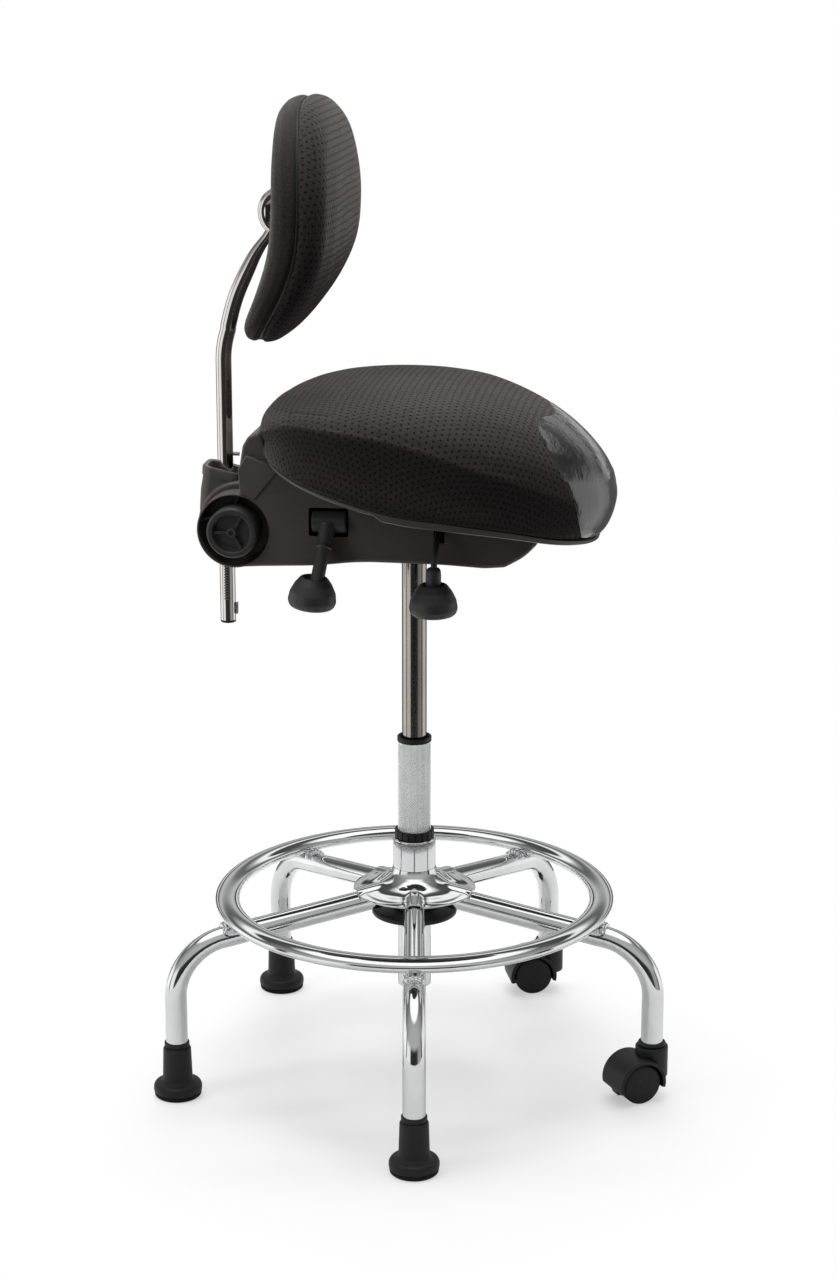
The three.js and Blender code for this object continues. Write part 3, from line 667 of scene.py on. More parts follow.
def make_hub():
    low, high = cad_box("hub_sleeve")
    outer, bore = high[0], cad_box("stand_tube")[1][0] + 0.3
    sleeve = turned_ring([[bore, low[2]], [outer, low[2]], [outer, high[2] - 0.2], [bore + 1.0, high[2]],
                          [bore, high[2] - 1]], [0.3, 1.2, 2.0, 0.6, 0.3], 5, 96)
    add_piece("hub_sleeve_tube", sleeve, "base", "chrome", "hub_sleeve")

    angles = all_round(400)
    reaches = np.concatenate([np.linspace(24.8, 34, 9)[:-1], np.linspace(34, 69.4, 26)])
    half_thickness = 1.0
    top = [level_ring(reach, spider_height(reach, angles), angles) for reach in reaches]
    under = [ring - [0, 0, 2 * half_thickness] for ring in top]
    rim = [top[-1] + level_ring(half_thickness * math.sin(t), half_thickness * (math.cos(t) - 1), angles)
           for t in np.linspace(0, math.pi, 7)[1:-1]]
    add_piece("hub_spider_cover", skin(top + rim + under[::-1], wrap_rows=True), "base", "chrome",
              "hub_spider", angle=50)

    low, high = cad_box("hub_lower_disc")
    disc = turned_ring(rectangle((bore, low[2]), (high[0], high[2])), [0.3, 1.5, 1.5, 0.3], 4, 96)
    add_piece("hub_disc", disc, "base", "black_plastic", "hub_lower_disc")


# ---- column ------------------------------------------------------------------------------------

# how many diamonds go round, how tall each is, and how deep the valleys are
KNURLS, KNURL_PITCH, KNURL_DEPTH = 58, 2.7, 0.55


def knurled_rows(radius, low, high):
    """Diamond knurling: peaks and valleys by turns, with every cell split along its valley."""
    rows, columns = 2 * round((high - low) / KNURL_PITCH), 2 * KNURLS
    vertices, faces = [], []
    for row in range(rows + 1):
        height = low + (high - low) * row / rows
        ends = 0.0 if row in (0, rows) else 1.0
        for column in range(columns):
            depth = KNURL_DEPTH * ends if (row + column) % 2 else 0.0
            angle = 2 * math.pi * column / columns
            reach = radius - depth
            vertices.append([reach * math.cos(angle), reach * math.sin(angle), height])
    for row in range(rows):
        for column in range(columns):
            a, b = row * columns + column, row * columns + (column + 1) % columns
            c, d = b + columns, a + columns
            if (row + column) % 2:
                faces += [(a, b, c), (a, c, d)]
            else:
                faces += [(a, b, d), (b, c, d)]
    return np.array(vertices), faces, columns


def make_column():
    low, high = cad_box("stand_tube")
    radius, bore = high[0], high[0] - 2.0
    knurl_low = cad_box("lock_ring")[1][2] - 4
    plain = turned_ring(rectangle((bore, low[2]), (radius, knurl_low)), [0.4, 0.8, 0.1, 0.1], 3, 96)
    add_piece("stand_tube_lower", plain, "base", "chrome", "stand_tube")

    vertices, faces, columns = knurled_rows(radius, knurl_low + 0.1, high[2] - 0.1)
    rows = len(vertices) // columns
    inner = vertices.copy()
    inner[:, :2] *= bore / np.linalg.norm(inner[:, :2], axis=1)[:, None]
    count = len(vertices)
    faces += [tuple(count + i for i in reversed(face)) for face in faces]
    for column in range(columns):
        after = (column + 1) % columns
        last = (rows - 1) * columns
        faces.append((after, column, count + column, count + after))
        faces.append((last + column, last + after, count + last + after, count + last + column))
    add_piece("stand_tube_knurled", (np.vstack([vertices, inner]), faces), "base", "knurl",
              angle=4, keep_flat=False)

    low, high = cad_box("lock_ring")
    ribs, across_rib = 18, 12
    bore = radius + 0.3
    around, groove_width, groove_depth = ribs * across_rib, 2, 1.1
    groove = np.where(np.arange(around) % across_rib < groove_width, groove_depth, 0.0)
    collar_radius = 22.5
    section = rounded([[bore, low[2]], [collar_radius, low[2]], [collar_radius, high[2]],
                       [collar_radius - 2.1, high[2]], [bore, high[2] - 2]],
                      [0.2, 0.7, 1.0, 0.5, 0.2], 3, closed=True)
    rings = []
    for reach, height in section:
        outer = np.clip((reach - collar_radius + groove_depth) / 0.8, 0, 1)
        rings.append(level_ring(reach - groove * outer, height, all_round(around)))
    add_piece("lock_collar", skin(rings, wrap_rows=True), "base", "black_plastic", "lock_ring")

    low, high = cad_box("column_bush")
    gas = cad_box("gas_cylinder")[1][0]
    top, inner, flange = high[2], gas + 0.4, high[2] - 5.7
    bush = turned_ring([[inner, low[2]], [bore - 2.8, low[2]], [bore - 2.8, flange], [high[0], flange],
                        [high[0], top], [high[0] - 1.6, top], [inner + 1.4, top - 3.4], [inner, top - 7]],
                       [0.2, 0.2, 0.1, 0.5, 0.9, 0.6, 1.5, 0.5], 4, 80)
    add_piece("column_guide_bush", bush, "base", "black_plastic", "column_bush")

    low, high = cad_box("gas_cylinder")
    taper = high[2] - 30
    outside = rounded([[5.6, low[2]], [gas, low[2]], [gas, taper], [gas - 1, high[2]], [4, high[2]],
                       [4, high[2] - 16], [0, high[2] - 16]], [0, 2, 4, 1, 0.4, 0.4, 0], 5)
    inside = [[0, high[2] - 34], [11, high[2] - 34], [11, low[2] + 6], [5.6, low[2] + 6], [5.6, low[2]]]
    tube = lathe_closed(np.vstack([outside, inside]), 96)
    add_piece("gas_cylinder_tube", tube, "gas_lift", "dark_chrome", "gas_cylinder")


def lathe_closed(profile, segments):
    """A turned piece with a hollow: the line runs from the outside at Z back to the inside at Z."""
    angles = all_round(segments)
    rings = [level_ring(r, z, angles) for r, z in profile if r > 1e-6]
    first_inner = int(np.argmax(np.isclose(profile[:, 0], 0)))
    rolled = rings[first_inner:] + rings[:first_inner]
    vertices, faces = skin(rolled)
    ends = profile[np.isclose(profile[:, 0], 0)]
    vertices[-2] = [0, 0, ends[1][1]]
    vertices[-1] = [0, 0, ends[0][1]]
    return vertices, faces


# ---- feet --------------------------------------------------------------------------------------


def make_glides():
    for name in ("front", "back_left", "left"):
        middle = cad_middle(f"glide_pad_{name}")
        top = cad_box(f"leg_{name}")[0][2]
        cup = rounded([[0, 5.6], [26.6, 5.6], [27.5, 7.6], [27.5, 12.2], [25.6, 16], [18.6, 18],
                       [17.0, 20.5], [15.8, 57.5], [14.4, 59.2], [13.0, 59.6], [13.0, 60.6],
                       [14.2, 61.0], [14.2, top - 0.5], [9.8, top - 0.4], [9.8, top + 22], [0, top + 22]],
                      [0, 1, 1.4, 4, 4, 2.5, 3, 2, 0.8, 0.4, 0.4, 0.7, 0.8, 0.4, 0.5, 0], 5)
        pad = rounded([[0, 0], [24.6, 0], [26.4, 1.6], [26.9, 5.3], [0, 5.3]], [0, 1.5, 1.5, 0.5, 0], 4)
        place = (middle[0], middle[1], 0)
        for part, profile, slot_name, replaced in (("body", cup, "black_plastic", "cup"),
                                                   ("sole", pad, "rubber", "pad")):
            add_piece(f"glide_{name}_{part}", moved(turned(profile, 72), place), "base", slot_name,
                      f"glide_{replaced}_{name}")


def make_castor(name):
    """The hood, wheels and socket of one castor, made trailing along -X about the stem's axis."""
    stem = cad_middle(f"castor_stem_{name}")
    axle = cad_middle(f"castor_axle_{name}")
    reach = float(np.hypot(*(axle - stem)[:2]))
    turn = math.degrees(math.atan2(*(axle - stem)[1::-1])) + 180
    foot = (stem[0], stem[1], 0)
    height = axle[2]
    wheel, half_web, width = 23.5, 6.0, 16.0
    half_width = half_web + width + 1

    def arc(radius, start, end):
        turns = np.radians(np.linspace(start, end, 57))
        return np.column_stack([radius * np.cos(turns) - reach, radius * np.sin(turns) + height])

    hood = add_object("hood", prism(np.vstack([arc(29, -14, 194), arc(wheel + 0.4, 194, -14)]),
                                    -half_width, half_width, 1.0))
    web = across(cylinder(27.5, -half_web - 0.5, half_web + 0.5, 90), -reach, 0, height)
    neck = turned(rounded([[0, height + 2], [18.6, height + 2], [18.6, 61.5], [0, 61.5]],
                          [0, 0.5, 2.2, 0], 4), 72)
    carve(hood, [web, neck], "UNION")
    rooms = [across(cylinder(wheel + 1.4, *ends, 96), -reach, 0, height)
             for ends in ((half_web, half_width + 9), (-half_width - 9, -half_web))]
    below = prism([[-reach - 40, -20], [-reach + 60, -20], [-reach + 60, height - 9],
                   [-reach - 40, height - 15]], -half_web - 3, half_web + 3)
    pin_hole = across(cylinder(3.4, -30, 30, 32), -reach, 0, height)
    carve(hood, [*rooms, below, cylinder(6.1, 45, 70, 40), pin_hole])
    hood.data.transform(Matrix.Translation(Vector(COLUMN + np.array(foot) * MM))
                        @ Matrix.Rotation(math.radians(turn), 4, "Z")
                        @ Matrix.Translation(-Vector(COLUMN)))
    body = f"castor_{name}"
    add_piece(f"castor_{name}_hood", hood, body, "black_plastic", f"castor_hood_{name}", angle=40)

    disc = turned_ring([[3.4, 0.8], [10, 0.4], [wheel - 2.4, 1.4], [wheel, 3.4], [wheel, width - 1.6],
                        [wheel - 1.6, width], [6.0, width], [3.4, width]],
                       [0.2, 6, 5, 2.5, 1.2, 1, 0.3, 0.2], 5, 96)
    cap = turned(rounded([[0, 0.6], [3.3, 0.75], [3.3, width - 1], [0, width - 1]], [0, 0.2, 0.4, 0], 3), 32)
    for side, sign in (("near", -1), ("far", 1)):
        start = sign * (half_web + 0.5 + width)
        for kind, shape, replaced in (("wheel", disc, f"castor_wheel_{side}_{name}"),
                                      ("wheel_cap", cap, ())):
            laid = moved(moved(shape, turn=90 * sign, about="X"), (-reach, start, height))
            add_piece(f"castor_{name}_{kind}_{side}", moved(moved(laid, turn=turn), foot),
                      f"wheel_{side}_{name}", "black_plastic", replaced)

    leg_end = cad_box(f"leg_{name}")[0][2]
    socket = turned_ring([[6.4, 62.4], [15.4, 62.4], [16.2, 63.2], [15.2, leg_end - 0.4],
                          [9.8, leg_end - 0.4], [9.8, 100], [6.4, 100]],
                         [0.2, 0.6, 0.8, 0.8, 0.2, 0.6, 0.2], 3, 56)
    add_piece(f"castor_{name}_socket", moved(socket, foot), "base", "black_plastic",
              f"castor_socket_{name}")


# ---- seat --------------------------------------------------------------------------------------

SEAT_LOW, SEAT_HIGH = cad_box("seat_cushion")
NOSE = cad_box("seat_nose_cover")[1][0]
REAR = SEAT_LOW[0]
SEAT_MIDDLE, HALF_WIDTH = -5.0, SEAT_HIGH[1]
crest_line = smooth_line([(-166, 757), (-163, 771), (-156, 783), (-146, 790), (-128, 797.5), (-100, 804.5),
                          (-60, 810.5), (-20, 813.5), (33, 813.5), (72, 809.5), (113, 797), (153, 778),
                          (175, 763.5), (193, 748), (206, 733.5), (215, 720), (221, 707), (224, 690)])
crease_line = smooth_line([(-166, 757), (-150, 770), (-130, 780), (-100, 785), (-60, 783), (10, 772),
                           (51, 759), (90, 744), (129, 729), (171, 708), (192, 698), (224, 692)])
under_line = smooth_line([(-166, 738), (-139, 731), (-70, 712), (2, 694), (64, 685), (119, 673),
                          (180, 653), (224, 640)])
crown = smooth_line([(0, 1), (0.2, 0.99), (0.45, 0.93), (0.62, 0.84), (0.75, 0.715), (0.85, 0.56),
                     (0.92, 0.40), (0.965, 0.23), (1, 0)])


def seat_plan(scale, angles):
    """The seat seen from above, a broad round rear and a narrower blunt nose, about its middle."""
    cosine, sine = np.cos(angles), np.sin(angles)
    reach = np.where(cosine > 0, NOSE - SEAT_MIDDLE, SEAT_MIDDLE - REAR)
    power = np.where(cosine > 0, 0.92, 0.74)
    x = SEAT_MIDDLE + scale * reach * np.sign(cosine) * np.abs(cosine) ** power
    taper = np.where(cosine > 0, 1 - 0.2 * cosine**2, 1)
    y = scale * HALF_WIDTH * taper * np.sign(sine) * np.abs(sine) ** 0.86
    return x, y


edge_x, edge_y = seat_plan(1.0, np.linspace(0, math.pi, 721))


def cushion_rings(around=288):
    """Rings from the middle of the top, out over the shoulder, down the flank and under."""
    angles = all_round(around, 0.5)
    rear = np.clip((-np.cos(angles) - 0.15) / 0.5, 0, 1) ** 1.5
    rings = []
    top_scales = np.concatenate([np.linspace(0.02, 0.80, 26), np.linspace(0.815, 0.985, 24), [0.995]])
    for scale in top_scales:
        x, y = seat_plan(scale, angles)
        half_width = np.interp(x, edge_x[::-1], edge_y[::-1])
        share = np.clip(np.abs(y) / np.maximum(half_width, 1), 0, 1)
        crease, crest = crease_line(x), crest_line(x)
        z = crease + crown(share) * (crest - crease)
        seam = np.exp(-((scale - 0.905) / 0.009) ** 2) * rear
        rings.append(np.stack([x, y, z - 2.2 * seam], 1))
    flank_scale = smooth_line([(0, 1.0), (0.06, 1.003), (0.14, 0.998), (0.26, 0.984), (0.42, 0.972),
                               (0.58, 0.970), (0.74, 0.976), (0.86, 0.980), (0.94, 0.976),
                               (1.0, 0.955), (1.06, 0.915)])
    nose_scale = smooth_line([(0, 1.0), (0.12, 1.001), (0.3, 0.995), (0.5, 0.983), (0.7, 0.965),
                              (0.85, 0.946), (0.95, 0.928), (1.0, 0.912), (1.06, 0.885)])
    nose = np.clip((np.cos(angles) - 0.45) / 0.45, 0, 1)
    x_edge = seat_plan(1.0, angles)[0]
    for part in np.concatenate([np.linspace(0, 0.9, 30), np.linspace(0.92, 1.06, 9)]):
        scale = flank_scale(part) * (1 - nose) + nose_scale(part) * nose
        x, y = seat_plan(scale, angles)
        drop = min(part, 1.0)
        z = crease_line(x_edge) * (1 - drop) + under_line(x) * drop
        rings.append(np.stack([x, y, z + 0.6], 1))
    return np.array(rings)


def cloth_uv(rings, row, across_axis, along_axis, start=0.0):
    """Where each point lies on the cloth before it was drawn over the foam, in metres.

    Lengths run out over the rings from their middle, each towards its point on the given row. They
    begin at start on the first ring. The skin's two end points come last.
    """
    steps = np.linalg.norm(np.diff(rings, axis=0), axis=2)
    length = start + np.vstack([np.zeros(rings.shape[1]), np.cumsum(steps, axis=0)])
    away = rings[row] - rings[0].mean(0)
    a, b = away @ np.array(across_axis), away @ np.array(along_axis)
    size = np.hypot(a, b)
    uv = np.stack([length * a / size, length * b / size], 2).reshape(-1, 2)
    return np.vstack([uv, [[0, 0], [0, 0]]]) * MM + 0.5


def make_seat():
    rings = cushion_rings()
    start = np.linalg.norm(rings[0] - rings[0].mean(0), axis=1)
    uv = cloth_uv(rings, 20, (1, 0, 0), (0, 1, 0), start)
    vertices, faces = skin(rings)
    cushion = add_piece("seat_cushion_cloth", (vertices, faces), "seat_unit", "fabric", "seat_cushion",
                        angle=70, uv=uv, keep_flat=False)
    make_nose_cover(vertices, faces)
    make_seat_shell()


NOSE_FOOT = 650.0  # the height that bearings round the nose are taken from
# x of the vinyl's seam, over degrees up from the horizontal as seen from the front
nose_seam = smooth_line([(-20, 191), (0, 190.5), (14, 189), (25.6, 184.5), (36, 172), (45, 156.5),
                         (53, 145.5), (60, 141.5), (67, 142), (74, 145.5), (82, 151.5), (90, 154.5)])


def nose_edge(point):
    """How far ahead of the vinyl's seam a point on the cushion is."""
    bearing = math.degrees(math.atan2(point[2] - NOSE_FOOT, abs(point[1])))
    return point[0] - float(nose_seam(bearing))


def make_nose_cover(vertices, faces):
    """The vinyl panel sewn over the nose, found by looking out from inside the foam."""
    triangles = [(f[0], f[i], f[i + 1]) for f in faces for i in range(1, len(f) - 1)]
    tree = BVHTree.FromPolygons([tuple(v) for v in vertices], triangles)
    inside = Vector((120.0, 0.0, 700.0))
    around, rows, depth, tucks = 200, 44, 1.6, 46

    def hit(lean, bearing):
        side = math.sin(lean)
        way = Vector((math.cos(lean), side * math.cos(bearing), side * math.sin(bearing)))
        return np.array(tree.ray_cast(inside, way)[0])

    panel = np.zeros((rows + 1, around, 3))
    for i, bearing in enumerate(all_round(around, 0.5)):
        low, high = 0.02, 2.0
        for _ in range(22):
            lean = (low + high) / 2
            if nose_edge(hit(lean, bearing)) > 0:
                low = lean
            else:
                high = lean
        panel[:, i] = [hit(low * share, bearing) for share in np.linspace(0.03, 1, rows + 1)]
    out = np.zeros_like(panel)
    sideways = np.roll(panel, -1, 1) - np.roll(panel, 1, 1)
    out[1:-1] = np.cross(panel[2:] - panel[:-2], sideways[1:-1])
    out[0], out[-1] = out[1], out[-2]
    out /= np.linalg.norm(out, axis=2)[:, :, None]
    if (out[5, 5] @ (panel[5, 5] - np.array(inside))) < 0:
        out = -out
    share = np.linspace(0, 1, rows + 1)
    lift = 0.95 * np.sqrt(np.clip((1 - share) / 0.05, 0, 1)) - 0.55
    tuck = np.sin(all_round(around) * tucks) * 0.10  # only where the seam pulls
    pull = np.exp(-(((share - 0.90) / 0.07) ** 2))
    outside = panel + out * (lift[:, None] + pull[:, None] * tuck)[:, :, None]
    within = panel - out * depth
    shape = skin(list(outside) + list(within[::-1]))
    piece = add_piece("seat_nose_vinyl", shape, "seat_unit", "vinyl", "seat_nose_cover", angle=80,
                      keep_flat=False)


def make_seat_shell():
    """The moulded pan under the cushion, with its stepped lip, the heel behind it and two gussets."""
    angles = all_round(240, 0.5)
    lip_depth = smooth_line([(-170, 4), (-24, 4), (-17, 4), (-13, 7.5), (-8, 7.5), (100, 7), (170, 5.5),
                             (210, 4)])
    front = np.clip((np.cos(angles) - 0.3) / 0.6, 0, 1)
    # share of the seat's plan, height over the cushion's underside, and 1 for rows below the lip
    rows = [(0.80, 1.2, 0), (0.925, 1.0, 0), (0.948, 0.4, 0), (0.957, -0.8, 0), (0.959, -2.0, 0),
            (0.957, 0.4, 1), (0.951, -0.6, 1), (0.940, -1.2, 1), (0.86, -1.6, 1), (0.80, -2.0, 1)]
    rings = []
    for scale, lift, lower in rows:
        x, y = seat_plan(scale - 0.034 * front, angles)
        rings.append(np.stack([x, y, under_line(x) + lift - lower * lip_depth(x)], 1))
    shell = add_object("shell", skin(rings))
    heel = rounded([[-150, 704], [-150, 722], [-158, 748], [-167, 757], [-176, 752], [-182, 742],
                    [-186, 717], [-173, 708]], [4, 5, 10, 6, 6, 12, 6, 6], 5, closed=True)
    carve(shell, [prism(heel, -57, 57, 3.2, 4)], "UNION")
    gusset = rounded([[-184, 690], [-168, 684], [-144, 714], [-142, 719], [-176.5, 733], [-186, 717]],
                     [2, 2, 3, 2, 2, 3], 4, closed=True)
    carve(shell, [prism(gusset, *ends, 1.4, 3) for ends in ((-64.2, -54), (54, 64.2))], "UNION")
    add_piece("seat_pan", shell, "seat_unit", "housing_plastic", "seat_shell", angle=30)


# ---- housing, frame and levers -----------------------------------------------------------------

CLAMP = cad_middle("clamp_spindle")[[0, 2]]
SPINDLE_HOLE = 5.6
KNOB_RECESS = 39.0  # radius of the cup that the handwheel sits in


def housing_outline():
    """The side of the housing, anticlockwise: rear end, bottom, front, and the top under the pan."""
    turns = np.radians(np.arange(194, 271, 4))
    rear = np.column_stack([CLAMP[0] + 1 + 43.5 * np.cos(turns), CLAMP[1] + 2 + 43.5 * np.sin(turns)])
    corners = [[-160, 608.5], [-100, 611], [-52, 617], [38, 616.5], [85, 614], [108, 616], [129, 628],
               [151, 651], [100, 664.2], [63, 673.6], [22, 682.6], [-6, 686], [-26, 692.8],
               [-80, 707.2], [-121, 717.4], [-146, 723], [-187, 690], [-196, 674], [-208, 662],
               [-234.2, 657.4]]
    radii = [60, 400, 300, 400, 60, 14, 60, 8, 60, 60, 60, 20, 20, 60, 60, 9, 9, 20, 14, 8]
    return rounded([*rear, *corners], [0] * len(rear) + radii, 6, closed=True)


def face_openings(clamp_x, clamp_z):
    """The tilt lever's window, the height lever's slot and the hole for the handwheel's cup."""
    window = rounded(rectangle((-108, 645), (-64, 677)), [2, 3, 3, 3], 4, closed=True)
    slot = rounded(rectangle((30, 641), (42, 669)), [2, 2, 5.8, 5.8], 5, closed=True)
    hole = across(cylinder(KNOB_RECESS + 1, -80, -45, 96), clamp_x, 0, clamp_z)
    return [prism(window, -80, -50), prism(slot, -80, -50), hole]


def make_cover(name, side, replaced):
    half = cad_box("side_cover_left")[1][1]
    wall, part_line, rim = 2.5, 0.3, 4.5
    low, high = (-half, -part_line) if side < 0 else (part_line, half)
    outline = housing_outline()
    rims = (rim, 0.5) if side < 0 else (0.5, rim)
    cover = add_object(name, prism_with_rims(outline, low, high, *rims))
    hollow = (-half + wall, 5) if side < 0 else (-5, half - wall)
    clamp_x, clamp_z = CLAMP
    cutters = [] if side > 0 else face_openings(clamp_x, clamp_z)
    cutters += [
        prism(inset(outline, wall + 0.4), *hollow),
        cylinder(24, 590, 640, 64),
        upright_box((-160, -34, 590), (-140, 34, 730)),
        upright_box((-250, -28, 580), (-159, 28, 735)),
    ]
    if side > 0:
        cutters.append(across(cylinder(SPINDLE_HOLE, -80, 80, 32), clamp_x, 0, clamp_z))
    carve(cover, cutters)
    if side < 0:
        front, floor = -half - 0.2, -36.5
        cup = turned_ring([[SPINDLE_HOLE, floor], [KNOB_RECESS - 3, floor], [KNOB_RECESS, floor - 3],
                           [KNOB_RECESS, front + 1.6], [KNOB_RECESS + 1.1, front],
                           [KNOB_RECESS + wall, front + 0.6], [KNOB_RECESS + wall, floor + wall],
                           [SPINDLE_HOLE, floor + wall]], [0.3, 2, 3, 1, 0.7, 0.6, 1, 0.3], 5, 112)
        join_in(cover, add_object("cup", across(cup, clamp_x, 0, clamp_z)))
    add_piece(name, cover, "seat_unit", "housing_plastic", replaced, angle=30)


def upright_box(low, high):
    """A plain block between two corners."""
    return prism(rectangle(low[::2], high[::2]), low[1], high[1])


def join_in(piece, other):
    """Adds another object's faces to a piece, and takes that object away."""
    edit = bmesh.new()
    edit.from_mesh(piece.data)
    edit.from_mesh(other.data)
    edit.to_mesh(piece.data)
    edit.free()
    bpy.data.objects.remove(other)


def prism_with_rims(outline, low, high, low_rim, high_rim, steps=6):
    """A prism whose two rims are rounded by different amounts."""
    shapes = []
    for rim, from_low in ((low_rim, True), (high_rim, False)):
        for k in range(steps + 1):
            t = math.pi / 2 * k / steps
            amount, depth = rim * (1 - math.sin(t)), rim * (1 - math.cos(t))
            shapes.append((amount, low + depth if from_low else high - depth))
    first, second = shapes[: steps + 1], shapes[steps + 1:][::-1]
    rings = []
    for amount, y in first + second:
        flat = inset(outline, amount) if amount > 1e-6 else outline
        rings.append(np.stack([flat[:, 0], np.full(len(flat), y), flat[:, 1]], 1))
    vertices, faces = skin(rings, caps=False)
    count = len(outline)
    faces.append(tuple(range(count - 1, -1, -1)))
    faces.append(tuple((len(rings) - 1) * count + i for i in range(count)))
    return vertices, [tuple(reversed(f)) for f in faces]


def make_housing():
    make_cover("housing_right", -1, "side_cover_right")
    make_cover("housing_left", 1, "side_cover_left")


def grip_shape(place, lean=0.0):
    """A bowl hanging from a lever: a smooth dome with a dished top round the rod's end."""
    profile = rounded([[0, -36.4], [17, -36], [24.5, -33], [26.6, -26.5], [25.2, -17], [20.5, -7.5],
                       [15.6, -1.2], [13.8, 0.2], [12.2, -0.6], [10.8, -4.5], [8.6, -7.2], [0, -7.6]],
                      [0, 16, 8, 7, 14, 18, 5, 1.6, 2, 3, 3, 0], 6)
    return moved(moved(turned(profile, 80), turn=lean, about="Y"), place)


def grip_top(node):
    """The middle of a CAD grip's top."""
    low, high = cad_box(node)
    return np.array([(low[0] + high[0]) / 2, (low[1] + high[1]) / 2, high[2]])


def make_levers():
    grip = grip_top("height_lever_grip")
    bar = smooth_path([[4, -4, 671], [22, -28, 671], [32, -40, 669], [36, -58, 661], [36, -76, 650],
                       [35, -88, 634], [34, -92, 616], [grip[0], -92.8, grip[2] - 5]], 60)
    add_piece("height_lever_bar", swept(bar, 3.5, 24), "height_lever", "black_steel", "height_lever_rod")
    sleeve = turned_ring([[3.6, 0], [8.2, 0], [8.4, 16], [7.9, 22], [6.2, 24.5], [3.6, 24.5]],
                         [0.2, 0.8, 6, 2, 1, 0.3], 4, 48)
    add_piece("height_lever_sleeve", moved(sleeve, (grip[0], -92.4, grip[2] - 6.5)), "height_lever",
              "lit_black_plastic")
    add_piece("height_lever_bowl", grip_shape(grip), "height_lever", "lit_black_plastic", "height_lever_grip")

    drum = rounded([[0, -19], [10.8, -19], [12, -17.8], [12, 17.8], [10.8, 19], [0, 19]],
                   [0, 0.6, 0.6, 0.6, 0.6, 0], 2)
    head = add_object("tilt_head", moved(moved(turned(drum, 56), turn=90, about="Y"), (-85, -58, 661)))
    top, end = np.array([-86.0, -64, 659]), np.array([-94.0, -93.5, 601])
    steps, joint = 40, 16  # the arm tapers down to its joint, where a bead runs round it
    line = [top + (end - top) * k / steps for k in range(steps + 1)]
    radii = [9.6 - 1.3 * min(1, k / 10) if k <= joint else 7.1 + 0.5 * k / steps for k in range(steps + 1)]
    radii[joint - 1] = radii[joint] = 9.0
    carve(head, [swept(line, radii, 40)], "UNION")
    add_piece("tilt_lever_arm", head, "tilt_lever", "lit_black_plastic", "tilt_lever_head", angle=40)
    bowl = grip_shape(grip_top("tilt_lever_grip") + [1.5, 0, -1], 6.0)
    add_piece("tilt_lever_bowl", bowl, "tilt_lever", "lit_black_plastic", "tilt_lever_grip")


def smooth_path(points, steps):
    """A smooth line through points in space, at even steps."""
    points = np.array(points, float)
    lengths = np.concatenate([[0], np.cumsum(np.linalg.norm(np.diff(points, axis=0), axis=1))])
    lines = [smooth_line(np.stack([lengths, points[:, axis]], 1)) for axis in range(3)]
    places = np.linspace(0, lengths[-1], steps)
    return np.stack([line(places) for line in lines], 1)


# ---- clamp, post and backrest ------------------------------------------------------------------

POST = cad_middle("tube_end_cap")[0]
POST_RADIUS = (cad_box("tube_end_cap")[1][0] - cad_box("tube_end_cap")[0][0]) / 2
POST_BORE = 6.9
KNUCKLE = cad_middle("knuckle_pin")[[0, 2]]
BEND_START, POST_BEND, POST_LEAN = 826.0, 110.0, math.radians(19)

# the collar round the post, from below to its top and down inside: x of its rear and front, half
# its depth, its corner's radius, and the height of its rear and front
collar_rings = [
    (-238, -186, 21.0, 10, 640, 640), (-240.5, -187.5, 22.0, 11, 661, 668),
    (-239.0, -189.5, 22.0, 11, 684, 681), (-236.5, -191.0, 21.5, 11, 698.5, 690),
    (-236.2, -191.4, 21.4, 11, 700.0, 691.4), (-237.2, -190.4, 22.2, 11.5, 701.5, 692.6),
    (-236.6, -189.9, 22.2, 11.5, 710.0, 700.5), (-235.4, -190.9, 21.2, 11, 712.2, 702.6),
    (-234.4, -191.9, 20.2, 10.4, 712.6, 703.0), (-231.2, -195.0, 17.2, 9, 711.2, 701.6),
    (-230.2, -196.0, 16.2, 8.5, 706.2, 696.6), (-228.6, -197.4, 15.0, 8, 694.0, 688.0),
]


def collar_ring(rear, front, half_depth, corner, rear_height, front_height):
    """One ring of an upright box with round corners, which may slope from its rear to its front."""
    outline = rounded(rectangle((rear, -half_depth), (front, half_depth)), corner, 12, closed=True)
    share = (outline[:, 0] - rear) / (front - rear)
    return np.column_stack([outline, rear_height + share * (front_height - rear_height)])


